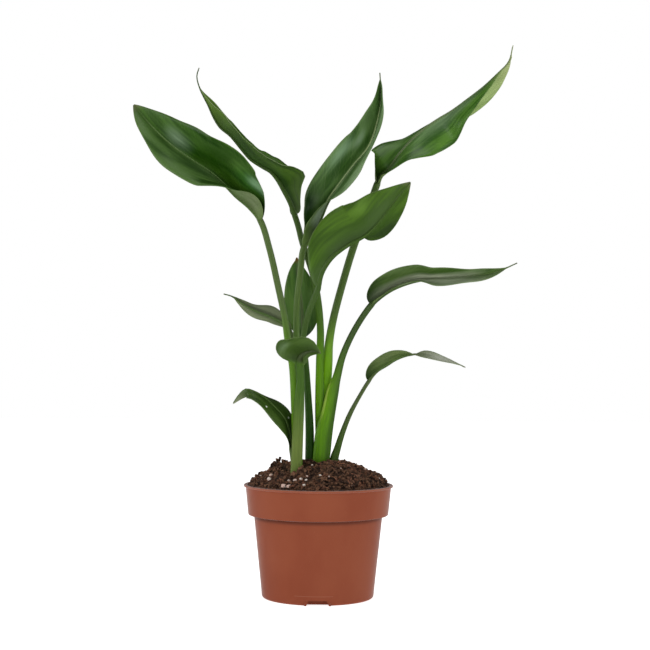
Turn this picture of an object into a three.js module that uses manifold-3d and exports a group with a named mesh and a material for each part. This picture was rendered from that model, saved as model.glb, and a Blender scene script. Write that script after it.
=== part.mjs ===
// Potted bird of paradise: a young plant of eleven leaves standing in a filled 12 cm nursery pot.
// Millimetres, +Z up. The origin is the centre of the pot's underside and the front looks along -Y.
import * as THREE from "three";
import { mergeVertices } from "three/addons/utils/BufferGeometryUtils.js";
import Module from "manifold-3d";

const wasm = await Module();
wasm.setup();

// Pot
const POT_HEIGHT = 90;
const LIP_RADIUS = 60;
const LIP_HEIGHT = 1.6;
const BAND_TOP_RADIUS = 58.3;
const BAND_FOOT_RADIUS = 56.3;
const BAND_FOOT_Z = 66;
const BODY_TOP_RADIUS = 51.6;
const BASE_RADIUS = 44.9;
const BASE_CORNER = 2.2;
const WALL = 1.3;
const POT_SIDES = 44;
const NOTCH_COUNT = 3;
const NOTCH_FOOT_WIDTH = 18.5;
const NOTCH_TOP_WIDTH = 14;
const NOTCH_HEIGHT = 4;
const NOTCH_DEPTH = 8;
const DRAIN_RADIUS = 3;
const DRAIN_PLACE = 0.42;
const POT_COLOUR = 0x904d38;

// Soil
const GAP = 0.3;
const SOIL_RIM_RADIUS = 56.4;
const SOIL_RIM_Z = 90.6;
const MOUND_HEIGHT = 18;
const MOUND_CENTRE = new THREE.Vector2(2, 6);
const MOUND_POWER = 2.4;
const SOIL_SIDES = 36;
const SOIL_RINGS = 8;
const LUMP_HEIGHT = 0.8;
const SOIL_COLOUR = 0x2b1a12;

// Leaves
const BLADE_THICKNESS = 0.8;
const BLADE_START = 0.003;
const BLADE_END = 0.995;
const ROW_CROWDING = 1.35;
const COLUMNS_A_HALF = 3;
const ROW_LENGTH = 9.5;
const STEM_SIDES = 8;
const RING_LENGTH = 15;
const ROUND_STEM_RADIUS = 2.8;
const SHEATH_FLATNESS = 0.3;
const RIB_FOOT_SHARE = 0.85;
const RIB_TIP_RADIUS = 0.5;
const RIB_TAPER = 1.3;
const RIB_END = 0.985;
const RIB_SINK = 0.45;
const HALF_BOW = -14;
const BASE_CURL = 60;
const BASE_CURL_END = 0.2;
const DIVISIONS_A_SPAN = 24;
const RIPPLE = 0.9;

const TOWARD_VIEWER = [0, -1, 0];
const AWAY = [0, 1, 0.15];
const UPWARD = [0, 0.4, 1];

// Each leaf stands on a stem and carries a blade. A stem row is x, y, z and the stem's radius, from
// inside the soil up. A rib row is x, y, z and the folds of the left and the right half out of the
// plane that faces the way the blade's upper side faces, in degrees. The blade's half width rises
// to its widest at the share "peak" of the rib, and "whip" is the share of the tip that is bare rib.
// "leftShare" is the left half's width beside the right one's, where the two differ.
// Within a fan the inner leaves come first and the outer leaves wrap them.
const FANS = [
  {
    leaf_upper_right: {
      stem: [
        [4.5, 7, 84, 3], [5.2, 7, 108, 3.4], [4.8, 7, 152, 4.4], [6.5, 7.5, 187, 4.2], [7.8, 8, 204, 3.4],
        [10.8, 9, 222, 3.1], [17, 10, 247, 3], [27.8, 11, 284, 3], [37, 12, 308, 2.8],
      ],
      rib: [
        [46, 13, 333.5, 80, 90], [49, 14, 341, 62, 82], [56, 14, 347, 4, 78],
        [64.5, 15, 358.5, -38, 60], [75, 16, 370.5, -72, 31], [83.5, 17, 378.5, -82, 24],
        [95, 18, 387, -88, 22], [107.5, 19, 395, -102, 52], [120.5, 20, 405, -122, 62],
        [133, 20, 415, -130, 75], [144.5, 20, 426, -128, 84], [154, 20, 436.5, -110, 80],
        [157.5, 20, 450.5, -60, 60],
      ],
      width: 26, peak: 0.38, rise: 0.42, whip: 0.05, waves: 3, upperSide: TOWARD_VIEWER, colour: 0x3f6428,
    },
    leaf_top_left: {
      stem: [
        [0.5, 3, 81.6, 3], [1, 3, 108, 3.4], [0.4, 3, 152, 3.6], [0.4, 3.5, 187, 3.2], [0.7, 4, 214, 2.9],
        [-1.5, 4, 238, 2.8], [-5.7, 5, 259, 2.7], [-14.8, 7, 286, 2.5], [-17.9, 8, 298, 2.4],
      ],
      rib: [
        [-21.1, 9, 307.9, 60, 75], [-24.3, 10, 316.5, 64, 85], [-26.9, 10.5, 321.8, 58, 95],
        [-30.4, 11, 328, 40, 115], [-33.1, 11.5, 332.9, -24, 128], [-36, 12, 337.4, -50, 128],
        [-40.6, 12, 342.7, -65, 120], [-47.3, 12.5, 346.6, -66, 119], [-57.4, 13, 353.1, -64, 123],
        [-65.9, 14, 362.7, -64, 121], [-74, 15, 372.3, -59, 117], [-82.7, 16, 379.4, -42, 137],
        [-88.1, 17, 387.7, -37, 154], [-92.8, 17, 397.9, -56, 168], [-99.5, 18, 411.2, -50, 150],
        [-102.2, 18, 421.9, -50, 130], [-100.1, 18, 429.3, -50, 130],
      ],
      width: 23, peak: 0.3, rise: 0.45, whip: 0.11, waves: 3, upperSide: AWAY, colour: 0x35571f,
    },
    leaf_mid_right: {
      stem: [
        [2.2, -2, 79, 6.6], [2, -2, 109, 6.9], [2.8, -2, 118, 7], [4.2, -2, 132, 6.9],
        [7.6, -1, 148, 5.6], [11, 0, 165, 4.9], [14.1, 1, 176, 3.4], [19, 2, 194, 2.7],
        [28.2, 3, 214.3, 2.5],
      ],
      rib: [
        [41.5, 4, 234.5, 26, 95], [48.5, 3, 241, 22, 92], [57.5, 2, 247, 34, 90], [68, 1, 251.5, 38, 88],
        [79, 0, 254.5, 40, 85], [90.5, 0, 256, 58, 70], [105, 0, 257, 60, 60], [119.5, 0, 258.5, 56, 54],
        [133, 0, 260, 42, 48], [145, 0, 263, 40, 40], [159.5, 0, 269.5, 40, 40],
      ],
      width: 17.2, peak: 0.29, rise: 0.42, whip: 0.07, waves: 3, upperSide: TOWARD_VIEWER, colour: 0x3c5f26,
    },
    leaf_centre_back: {
      stem: [
        [-7.3, 1, 82.8, 3.4], [-7.3, 1, 108.6, 3.6], [-7.4, 2.5, 133, 3.4], [-8.7, 4, 157, 2.9],
        [-10.8, 6.5, 185, 2.5],
      ],
      rib: [
        [-13.5, 9, 207.5, 10, 10], [-14, 11, 222, 5, 5], [-15, 12, 235.5, 5, 5], [-17, 13, 251, 8, 8],
        [-18.5, 13, 263, 12, 12], [-19, 12, 273.5, 20, 20],
      ],
      width: 14, peak: 0.42, rise: 0.6, whip: 0.02, waves: 2, upperSide: TOWARD_VIEWER, colour: 0x3a6128,
    },
    leaf_lower_right: {
      stem: [
        [12.4, 2, 80.3, 3.3], [12.4, 2, 109.5, 3.5], [14.7, 2, 117.6, 2.9], [18.7, 2, 130.5, 2.3],
        [25, 2.5, 146.6, 1.9], [31.4, 3, 158.7, 1.6],
      ],
      rib: [
        [40, 4, 173, 30, -70], [46.5, 3, 181, 14, -92], [54.5, 2, 186, 17, -100],
        [61.5, 1, 190.5, 38, -98], [69, 0, 193.5, 60, -92], [76, 0, 195, 88, -88],
        [85, 0, 194.5, 104, -114], [94.5, 0, 192, 113, -126], [105, 0, 190, 130, -116],
        [113, 0, 187, 130, -112], [118, 0, 184.5, 130, -110],
      ],
      width: 10, peak: 0.3, rise: 0.4, whip: 0.03, waves: 2, upperSide: TOWARD_VIEWER, colour: 0x45632f,
    },
  },
  {
    leaf_top_centre: {
      stem: [
        [-16.3, -19.5, 83.3, 2.6], [-16.3, -19.5, 104, 2.8], [-16.4, -18, 133, 2.8], [-17, -16, 157, 2.8],
        [-17.7, -13, 186, 2.7], [-18.6, -10, 214, 2.6], [-18.1, -7, 237.5, 2.6], [-16, -4.5, 257.5, 2.6],
      ],
      rib: [
        [-13, -2, 280.5, 34, 145], [-7.5, -2, 288, 38, 140], [-3.5, -1, 295.5, 38, 128],
        [1, -1, 306.5, 30, 106], [6, 0, 318, 16, 80], [14, 0, 330, 20, 68], [26, 1, 346.5, 27, 70],
        [39.5, 0, 363.5, 16, 79], [46.5, -1, 387, 36, 79], [48, -2, 404, 58, 82], [47, -3, 422.5, 40, 60],
      ],
      width: 22, peak: 0.45, rise: 0.65, whip: 0.04, waves: 3, upperSide: TOWARD_VIEWER, colour: 0x3a6129,
    },
    leaf_upper_left: {
      stem: [
        [-18.3, -22.5, 80.9, 2.8], [-18.3, -22.5, 103, 2.9], [-18.4, -22, 133, 3.1],
        [-19.3, -21.5, 157, 3], [-21.5, -21, 186, 2.7], [-25.2, -20, 205.6, 2.6], [-27.6, -20, 223, 2.6],
        [-33, -20, 247.5, 2.6], [-40, -20, 277, 2.5],
      ],
      rib: [
        [-47.5, -20, 300, 118, 60], [-56, -21, 310.5, 116, 42], [-67, -22, 319.5, 98, 32],
        [-73.5, -23, 326, 84, 32], [-86.5, -24, 337.5, 60, 36], [-102.5, -25, 348, 48, 40],
        [-120, -25, 360.5, 46, 30], [-135.5, -24, 375.5, 46, 24], [-149, -22, 391.5, 30, 20],
      ],
      width: 30.2, peak: 0.38, rise: 0.55, whip: 0, waves: 4, upperSide: TOWARD_VIEWER, colour: 0x365c22,
    },
    leaf_centre_front: {
      stem: [
        [-15.2, -23.5, 78.4, 2.3], [-15.2, -23.5, 104, 2.4], [-14.6, -24, 133, 2.4],
        [-14, -25, 157.5, 2.4], [-14.4, -26, 186, 2.4], [-12.8, -27, 208.5, 2.4], [-8.5, -28, 228, 2.4],
      ],
      rib: [
        [-1.5, -28, 246, 95, 45], [1, -29, 257, 104, 48], [5.5, -30, 265.5, 110, 33],
        [11, -31, 272, 112, 20], [23.5, -33, 281, 104, 5], [34, -35, 286.5, 76, 5],
        [43.5, -36, 295, 61, 12], [53.5, -37, 308.5, 54, 16], [62, -37, 319.5, 45, 28],
        [70.5, -37, 330, 40, 30],
      ],
      width: 30, peak: 0.45, rise: 0.8, whip: 0, waves: 2, upperSide: AWAY, colour: 0x4f7526,
    },
    leaf_front_nodding: {
      stem: [
        [-18.6, -28, 82.1, 3.5], [-17.9, -28, 103, 4.1], [-17, -28, 118, 4.3], [-16.5, -29, 133, 4.3],
        [-15.6, -32, 157, 3.8], [-14.6, -36, 174, 3.1],
      ],
      rib: [
        [-15.2, -40, 187.5, -60, 5], [-14.6, -44, 193, -66, 10], [-12.6, -50, 195.5, -78, 13],
        [-9, -57, 197, -92, 16], [-4.4, -64, 197.2, -106, 40], [1.2, -70, 195.5, -110, 50],
      ],
      width: 22, peak: 0.38, rise: 0.5, whip: 0.02, waves: 2, upperSide: UPWARD, colour: 0x3b5a26,
      leftShare: 0.42,
    },
    leaf_left_back: {
      stem: [
        [-15.6, -15, 79.6, 2.4], [-15.6, -15, 103, 2.4], [-16, -13.5, 133, 2.4], [-17.4, -11, 157, 2.3],
        [-18.8, -8, 178, 2.1], [-20.4, -4, 198, 2],
      ],
      rib: [
        [-24.5, 0, 214, 45, 54], [-28.5, 1, 218.5, 70, 70], [-39.5, 3, 224.5, 63, 62],
        [-50, 5, 228.5, 62, 54], [-59, 7, 233, 74, 56], [-66.5, 9, 237.5, 76, 60],
        [-71.5, 10, 241, 60, 60], [-78.5, 11, 243, 40, 40],
      ],
      width: 13.5, peak: 0.42, rise: 0.6, whip: 0.14, waves: 2, upperSide: AWAY, colour: 0x5c6b52,
    },
    leaf_lower_left: {
      stem: [
        [-20, -17, 84.6, 1.7], [-20, -17, 103, 1.7], [-20.8, -17.4, 112, 1.7],
      ],
      rib: [
        [-21.8, -18, 119, 80, -70], [-22.8, -18.5, 126.5, 80, -76], [-24, -18.5, 134.5, 65, -74],
        [-27, -18.5, 143, 54, -61], [-35, -18, 152.5, 51, -69], [-44.5, -18, 161, 50, -86],
        [-52, -18, 165, 48, -95], [-58, -18, 166.5, 12, -90], [-63, -18, 162.5, 0, -86],
        [-68.5, -18, 154.5, -6, -100],
      ],
      width: 12.5, peak: 0.4, rise: 0.6, whip: 0, waves: 2, upperSide: TOWARD_VIEWER, colour: 0x35561f,
    },
  },
];

function toManifold(geometry) {
  const bare = new THREE.BufferGeometry();
  bare.setAttribute("position", geometry.getAttribute("position"));
  bare.setIndex(geometry.getIndex());
  const merged = mergeVertices(bare, 1e-4);
  const triVerts = new Uint32Array(merged.getIndex().array);
  const vertProperties = new Float32Array(merged.getAttribute("position").array);
  return new wasm.Manifold(new wasm.Mesh({ numProp: 3, vertProperties, triVerts }));
}

function toGeometry(manifold) {
  const mesh = manifold.getMesh();
  const geometry = new THREE.BufferGeometry();
  geometry.setAttribute("position", new THREE.BufferAttribute(mesh.vertProperties, 3));
  geometry.setIndex(new THREE.BufferAttribute(mesh.triVerts, 1));
  geometry.computeVertexNormals();
  return geometry;
}

function largestBody(manifold) {
  const bodies = manifold.decompose();
  return bodies.reduce((best, body) => (body.volume() > best.volume() ? body : best));
}

function signedVolume(points, faces) {
  const normal = new THREE.Vector3();
  let volume = 0;
  for (const [a, b, c] of faces) volume += points[a].dot(normal.crossVectors(points[b], points[c]));
  return volume / 6;
}

// A closed body from corner points and triangles, turned face outward.
function closedBody(points, faces) {
  const outward = signedVolume(points, faces) > 0;
  const geometry = new THREE.BufferGeometry().setFromPoints(points);
  geometry.setIndex(faces.flatMap(([a, b, c]) => (outward ? [a, b, c] : [a, c, b])));
  return toManifold(geometry);
}

// A closed tube through rings of the same number of points, with a flat cap at each end.
function loft(rings) {
  const sides = rings[0].length;
  const points = rings.flat();
  const faces = [];
  for (let i = 0; i + 1 < rings.length; i += 1) {
    for (let j = 0; j < sides; j += 1) {
      const a = i * sides + j;
      const b = i * sides + ((j + 1) % sides);
      faces.push([a, b, b + sides], [a, b + sides, a + sides]);
    }
  }
  const last = (rings.length - 1) * sides;
  for (let j = 1; j + 1 < sides; j += 1) faces.push([0, j + 1, j], [last, last + j, last + j + 1]);
  return closedBody(points, faces);
}

// A thin closed sheet between two grids of points that are split into triangles alike.
function sheet(upper, lower) {
  const rows = upper.length;
  const columns = upper[0].length;
  const points = [...upper.flat(), ...lower.flat()];
  const under = rows * columns;
  const faces = [];
  for (let i = 0; i + 1 < rows; i += 1) {
    for (let j = 0; j + 1 < columns; j += 1) {
      const a = i * columns + j;
      const b = a + 1;
      const c = a + columns;
      const d = c + 1;
      faces.push([a, b, d], [a, d, c]);
      faces.push([under + a, under + d, under + b], [under + a, under + c, under + d]);
    }
  }
  const rim = [];
  for (let j = 0; j < columns; j += 1) rim.push(j);
  for (let i = 1; i < rows; i += 1) rim.push(i * columns + columns - 1);
  for (let j = columns - 2; j >= 0; j -= 1) rim.push((rows - 1) * columns + j);
  for (let i = rows - 2; i > 0; i -= 1) rim.push(i * columns);
  rim.forEach((a, k) => {
    const b = rim[(k + 1) % rim.length];
    faces.push([b, a, under + a], [b, under + a, under + b]);
  });
  return closedBody(points, faces);
}

// The line of a leaf from the soil to the tip, with its radius or folds read along it.
class Course {
  constructor({ stem, rib, upperSide }) {
    const rows = [...stem, ...rib];
    const place = ([x, y, z]) => new THREE.Vector3(x, y, z);
    this.line = new THREE.CatmullRomCurve3(rows.map(place), false, "centripetal");
    this.line.arcLengthDivisions = (rows.length - 1) * DIVISIONS_A_SPAN;
    const radiusRow = ([, , , radius], i) => new THREE.Vector3(radius, i, 0);
    const foldRow = ([, , , left, right]) => new THREE.Vector3(left, right, 0);
    this.radii = new THREE.CatmullRomCurve3(stem.map(radiusRow));
    this.folds = new THREE.CatmullRomCurve3(rib.map(foldRow));
    this.facing = new THREE.Vector3(...upperSide);
    this.spans = rows.length - 1;
    this.stemSpans = stem.length;
    const lengths = this.line.getLengths();
    this.length = lengths.at(-1);
    this.bladeStart = lengths[stem.length * DIVISIONS_A_SPAN] / this.length;
    this.footRadius = stem.at(-1)[3];
  }

  // Share 0 is the soil end of the stem and 1 the tip of the leaf.
  frame(share) {
    const t = this.line.getUtoTmapping(share);
    const point = this.line.getPoint(t);
    const along = this.line.getTangent(t);
    const up = this.facing.clone().addScaledVector(along, -this.facing.dot(along)).normalize();
    const across = new THREE.Vector3().crossVectors(along, up);
    return { t: t * this.spans, point, along, up, across };
  }

  stemRadius(t) {
    const share = Math.min(t / (this.stemSpans - 1), 1);
    return this.radii.getPoint(share).x;
  }

  foldsAt(t) {
    const share = Math.max(0, t - this.stemSpans) / (this.spans - this.stemSpans);
    const pair = this.folds.getPoint(share);
    return { left: pair.x, right: pair.y };
  }
}

function ring({ point, up, across }, acrossRadius, depthRadius, drop) {
  const centre = point.clone().addScaledVector(up, -drop);
  const points = [];
  for (let i = 0; i < STEM_SIDES; i += 1) {
    const angle = ((i + 0.5) / STEM_SIDES) * 2 * Math.PI;
    points.push(
      centre.clone()
        .addScaledVector(across, acrossRadius * Math.cos(angle))
        .addScaledVector(up, depthRadius * Math.sin(angle)),
    );
  }
  return points;
}

function depthRadiusOf(radius) {
  const extra = Math.max(0, radius - ROUND_STEM_RADIUS);
  return radius - extra * (1 - SHEATH_FLATNESS);
}

// The stem up to the blade, and on under the blade as a rib that thins out toward the tip. With a swell
// it is the room that the stem takes up in the soil and between its neighbours.
function stemAndRib(course, swell = 0, withRib = true) {
  const rings = [];
  const stemSteps = Math.round((course.length * course.bladeStart) / RING_LENGTH);
  for (let i = 0; i <= stemSteps; i += 1) {
    const frame = course.frame((course.bladeStart * i) / stemSteps);
    if (i === 0) frame.point.z -= swell;
    const radius = course.stemRadius(frame.t);
    rings.push(ring(frame, radius + swell, depthRadiusOf(radius) + swell, 0));
  }
  const ribFootRadius = course.footRadius * RIB_FOOT_SHARE;
  const ribSteps = withRib ? Math.round((course.length * (1 - course.bladeStart)) / RING_LENGTH) : 0;
  for (let i = 1; i <= ribSteps; i += 1) {
    const done = (RIB_END * i) / ribSteps;
    const frame = course.frame(course.bladeStart + (1 - course.bladeStart) * done);
    const radius = RIB_TIP_RADIUS + (ribFootRadius - RIB_TIP_RADIUS) * (1 - done) ** RIB_TAPER;
    rings.push(ring(frame, radius, radius, radius * RIB_SINK));
  }
  return loft(rings);
}

function halfWidth(leaf, done) {
  const share = Math.min(done / (1 - leaf.whip), 0.999);
  const fall = (leaf.rise * (1 - leaf.peak)) / leaf.peak;
  const shape = (share / leaf.peak) ** leaf.rise * ((1 - share) / (1 - leaf.peak)) ** fall;
  return Math.max(leaf.width * shape, RIB_TIP_RADIUS);
}

// One point of a blade half and the way its upper side faces there. "out" is 0 at the rib, 1 at the margin.
function bladePoint(leaf, frame, folds, done, side, out) {
  const curl = HALF_BOW + BASE_CURL * Math.max(0, 1 - done / BASE_CURL_END) ** 2;
  const fold = THREE.MathUtils.degToRad((side < 0 ? folds.left : folds.right) + curl * (out - 1));
  const sideways = frame.across.clone().multiplyScalar(side);
  const reach = halfWidth(leaf, done) * out * (side < 0 ? leaf.leftShare ?? 1 : 1);
  const facing = sideways.clone().multiplyScalar(-Math.sin(fold)).addScaledVector(frame.up, Math.cos(fold));
  const wave = Math.sin(2 * Math.PI * leaf.waves * done + (side < 0 ? 1 : 2.6));
  const lift = RIPPLE * wave * out ** 2 * Math.sin(Math.PI * done);
  const point = frame.point.clone()
    .addScaledVector(sideways, reach * Math.cos(fold))
    .addScaledVector(frame.up, reach * Math.sin(fold))
    .addScaledVector(facing, lift);
  return { point, facing };
}

function blade(leaf, course) {
  const share = 1 - course.bladeStart;
  const rows = Math.max(9, Math.round((course.length * share) / ROW_LENGTH));
  const upper = [];
  const lower = [];
  for (let i = 0; i <= rows; i += 1) {
    const done = BLADE_START + (BLADE_END - BLADE_START) * (i / rows) ** ROW_CROWDING;
    const frame = course.frame(course.bladeStart + share * done);
    const folds = course.foldsAt(frame.t);
    const upperRow = [];
    const lowerRow = [];
    for (let j = -COLUMNS_A_HALF; j <= COLUMNS_A_HALF; j += 1) {
      const out = Math.abs(j) / COLUMNS_A_HALF;
      const left = bladePoint(leaf, frame, folds, done, -1, out);
      const right = bladePoint(leaf, frame, folds, done, 1, out);
      const near = j < 0 ? left : right;
      const facing = j === 0 ? left.facing.clone().add(right.facing).normalize() : near.facing;
      upperRow.push(near.point);
      lowerRow.push(near.point.clone().addScaledVector(facing, -BLADE_THICKNESS));
    }
    upper.push(upperRow);
    lower.push(lowerRow);
  }
  return sheet(upper, lower);
}

function closedLathe(profile, sides) {
  const outline = profile.map(([radius, z]) => new THREE.Vector2(radius, z));
  const geometry = new THREE.LatheGeometry(outline, sides);
  geometry.rotateX(Math.PI / 2);
  const merged = mergeVertices(stripped(geometry), 1e-4);
  const position = merged.getAttribute("position");
  const points = [];
  for (let i = 0; i < position.count; i += 1) {
    points.push(new THREE.Vector3().fromBufferAttribute(position, i));
  }
  const index = merged.getIndex().array;
  const faces = [];
  for (let i = 0; i < index.length; i += 3) {
    const corners = [index[i], index[i + 1], index[i + 2]];
    if (new Set(corners).size === 3) faces.push(corners);
  }
  return { points, faces };
}

function stripped(geometry) {
  const bare = geometry.clone();
  bare.deleteAttribute("normal");
  bare.deleteAttribute("uv");
  return bare;
}

// A block with a trapezium face that reaches from the wall's outside inward, for a foot notch.
function notchBlock(footWidth, topWidth, height, innerEnd, outerEnd) {
  const face = new THREE.Shape([
    new THREE.Vector2(-footWidth / 2, -1),
    new THREE.Vector2(footWidth / 2, -1),
    new THREE.Vector2(footWidth / 2, 0),
    new THREE.Vector2(topWidth / 2, height),
    new THREE.Vector2(-topWidth / 2, height),
    new THREE.Vector2(-footWidth / 2, 0),
  ]);
  const block = new THREE.ExtrudeGeometry(face, { depth: outerEnd - innerEnd, bevelEnabled: false });
  block.rotateX(Math.PI / 2);
  block.translate(0, -innerEnd, 0);
  return block;
}

function turned(geometry, angle) {
  return geometry.clone().rotateZ(angle);
}

const innerBase = BASE_RADIUS - WALL;
const notchInner = BASE_RADIUS - NOTCH_DEPTH;

function pot() {
  const shell = closedLathe([
    [0, 0], [BASE_RADIUS - BASE_CORNER, 0], [BASE_RADIUS - BASE_CORNER * 0.3, BASE_CORNER * 0.3],
    [BASE_RADIUS, BASE_CORNER], [BODY_TOP_RADIUS, BAND_FOOT_Z - 0.4], [BAND_FOOT_RADIUS - 1, BAND_FOOT_Z],
    [BAND_FOOT_RADIUS, BAND_FOOT_Z + 1.2], [BAND_TOP_RADIUS, POT_HEIGHT - LIP_HEIGHT - 0.6],
    [LIP_RADIUS - 0.4, POT_HEIGHT - LIP_HEIGHT], [LIP_RADIUS, POT_HEIGHT - LIP_HEIGHT / 2],
    [LIP_RADIUS - 0.5, POT_HEIGHT], [LIP_RADIUS - 2.2, POT_HEIGHT],
    [BAND_TOP_RADIUS - WALL, POT_HEIGHT - 1.2], [BAND_FOOT_RADIUS - WALL, BAND_FOOT_Z + WALL],
    [BODY_TOP_RADIUS - WALL, BAND_FOOT_Z - WALL], [innerBase, BASE_CORNER + WALL],
    [innerBase - 1, WALL], [0, WALL],
  ], POT_SIDES);
  let body = closedBody(shell.points, shell.faces);
  for (let i = 0; i < NOTCH_COUNT; i += 1) {
    const angle = (i / NOTCH_COUNT) * 2 * Math.PI;
    const housing = notchBlock(
      NOTCH_FOOT_WIDTH + 2 * WALL, NOTCH_TOP_WIDTH + 2 * WALL, NOTCH_HEIGHT + WALL,
      notchInner - WALL, BASE_RADIUS - 0.6,
    );
    const flush = new THREE.BoxGeometry(40, 40, 4);
    flush.translate(0, -BASE_RADIUS + 10, -2);
    const raised = toManifold(turned(housing, angle)).subtract(toManifold(turned(flush, angle)));
    body = body.add(raised);
  }
  for (let i = 0; i < NOTCH_COUNT; i += 1) {
    const angle = (i / NOTCH_COUNT) * 2 * Math.PI;
    const notch = notchBlock(NOTCH_FOOT_WIDTH, NOTCH_TOP_WIDTH, NOTCH_HEIGHT, notchInner, BASE_RADIUS + 2);
    body = body.subtract(toManifold(turned(notch, angle)));
    const drain = new THREE.CylinderGeometry(DRAIN_RADIUS, DRAIN_RADIUS, 12, 12);
    drain.rotateX(Math.PI / 2);
    drain.translate(0, -(notchInner + NOTCH_DEPTH * DRAIN_PLACE), NOTCH_HEIGHT);
    body = body.subtract(toManifold(turned(drain, angle)));
  }
  return largestBody(body);
}

function moundHeight(x, y) {
  const distance = Math.hypot(x - MOUND_CENTRE.x, y - MOUND_CENTRE.y) / SOIL_RIM_RADIUS;
  const rim = Math.min(1, Math.hypot(x, y) / SOIL_RIM_RADIUS);
  const dome = MOUND_HEIGHT * Math.max(0, 1 - Math.max(distance, rim) ** MOUND_POWER);
  const lumps = Math.sin(x * 0.31 + 1.3) * Math.sin(y * 0.27 + 0.4) + 0.6 * Math.sin(x * 0.83 + y * 0.71);
  return dome + LUMP_HEIGHT * lumps * (1 - rim ** 4);
}

function soil(stems) {
  const profile = [
    [0, WALL + GAP], [innerBase - 1 - GAP, WALL + GAP], [innerBase - GAP, BASE_CORNER + WALL],
    [BODY_TOP_RADIUS - WALL - GAP, BAND_FOOT_Z - WALL + GAP],
    [BAND_FOOT_RADIUS - WALL - GAP, BAND_FOOT_Z + WALL + GAP],
    [BAND_TOP_RADIUS - WALL - GAP, POT_HEIGHT - 1.2], [SOIL_RIM_RADIUS, SOIL_RIM_Z],
  ];
  for (let i = 1; i <= SOIL_RINGS; i += 1) {
    profile.push([SOIL_RIM_RADIUS * (1 - i / SOIL_RINGS), SOIL_RIM_Z]);
  }
  const fill = closedLathe(profile, SOIL_SIDES);
  for (const point of fill.points) {
    if (point.z > SOIL_RIM_Z - 0.01) point.z += moundHeight(point.x, point.y);
  }
  let body = closedBody(fill.points, fill.faces);
  for (let i = 0; i < NOTCH_COUNT; i += 1) {
    const housing = notchBlock(
      NOTCH_FOOT_WIDTH + 2 * (WALL + GAP), NOTCH_TOP_WIDTH + 2 * (WALL + GAP), NOTCH_HEIGHT + WALL + GAP,
      notchInner - WALL - GAP, BASE_RADIUS + 2,
    );
    body = body.subtract(toManifold(turned(housing, (i / NOTCH_COUNT) * 2 * Math.PI)));
  }
  for (const stem of stems) body = body.subtract(stem);
  return largestBody(body);
}

const plant = new THREE.Group();

function place(name, manifold, colour, roughness) {
  const whole = largestBody(toManifold(toGeometry(manifold)));
  const material = new THREE.MeshStandardMaterial({ color: colour, roughness, metalness: 0 });
  const mesh = new THREE.Mesh(toGeometry(whole), material);
  mesh.name = name;
  plant.add(mesh);
}

const stemsInSoil = [];
for (const fan of FANS) {
  const inner = [];
  for (const [name, leaf] of Object.entries(fan)) {
    const course = new Course(leaf);
    let stem = stemAndRib(course);
    for (const other of inner) stem = stem.subtract(other);
    place(name, largestBody(largestBody(stem).add(blade(leaf, course))), leaf.colour, 0.45);
    const clearance = stemAndRib(course, GAP, false);
    inner.push(clearance);
    stemsInSoil.push(clearance);
  }
}
place("soil", soil(stemsInSoil), SOIL_COLOUR, 0.95);
place("pot", pot(), POT_COLOUR, 0.4);

export default plant;
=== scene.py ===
"""Potted bird of paradise: fine leaves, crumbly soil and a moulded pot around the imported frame.

Sizes are millimetres, turned into metres where a mesh is made. +Z is up and the front looks along -Y.
"""

import logging
import math
import random
from dataclasses import dataclass, field, replace
from enum import Enum
from typing import Iterable, Sequence

import bmesh
import bpy
from mathutils import Matrix, Vector, noise


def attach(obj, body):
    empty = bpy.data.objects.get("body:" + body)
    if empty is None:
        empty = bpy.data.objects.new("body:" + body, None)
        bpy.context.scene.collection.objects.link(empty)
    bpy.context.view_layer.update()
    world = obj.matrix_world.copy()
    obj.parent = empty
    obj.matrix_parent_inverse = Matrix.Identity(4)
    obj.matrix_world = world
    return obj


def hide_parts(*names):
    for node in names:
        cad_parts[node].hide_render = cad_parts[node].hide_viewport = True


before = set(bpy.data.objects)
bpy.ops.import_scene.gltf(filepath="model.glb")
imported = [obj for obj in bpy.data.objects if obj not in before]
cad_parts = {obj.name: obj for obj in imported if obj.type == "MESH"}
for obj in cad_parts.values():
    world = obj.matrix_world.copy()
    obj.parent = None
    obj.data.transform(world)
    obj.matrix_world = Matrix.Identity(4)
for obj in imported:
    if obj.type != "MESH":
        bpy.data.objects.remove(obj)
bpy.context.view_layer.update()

MM = 0.001
SEED = 4711
BODY = "root"
RING_GAP = 3.0
FAR_FROM_MARGIN = 9.0

log = logging.getLogger("potted_plant")

Row = tuple[float, ...]


@dataclass(frozen=True)
class Tone:
    """A surface colour, given as it looks on a screen, 0 to 255."""

    red: float
    green: float
    blue: float

    def linear(self) -> tuple[float, float, float, float]:
        """Returns the colour as a shader socket takes it."""
        return tuple(self._channel(value) for value in (self.red, self.green, self.blue)) + (1.0,)

    @staticmethod
    def _channel(value: float) -> float:
        """Returns one screen channel as linear light."""
        share = value / 255
        return share / 12.92 if share <= 0.04045 else ((share + 0.055) / 1.055) ** 2.4


class Facing(Enum):
    """The way that a leaf's upper side looks."""

    VIEWER = Vector((0, -1, 0))
    AWAY = Vector((0, 1, 0.15))
    UP = Vector((0, 0.4, 1))


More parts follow.
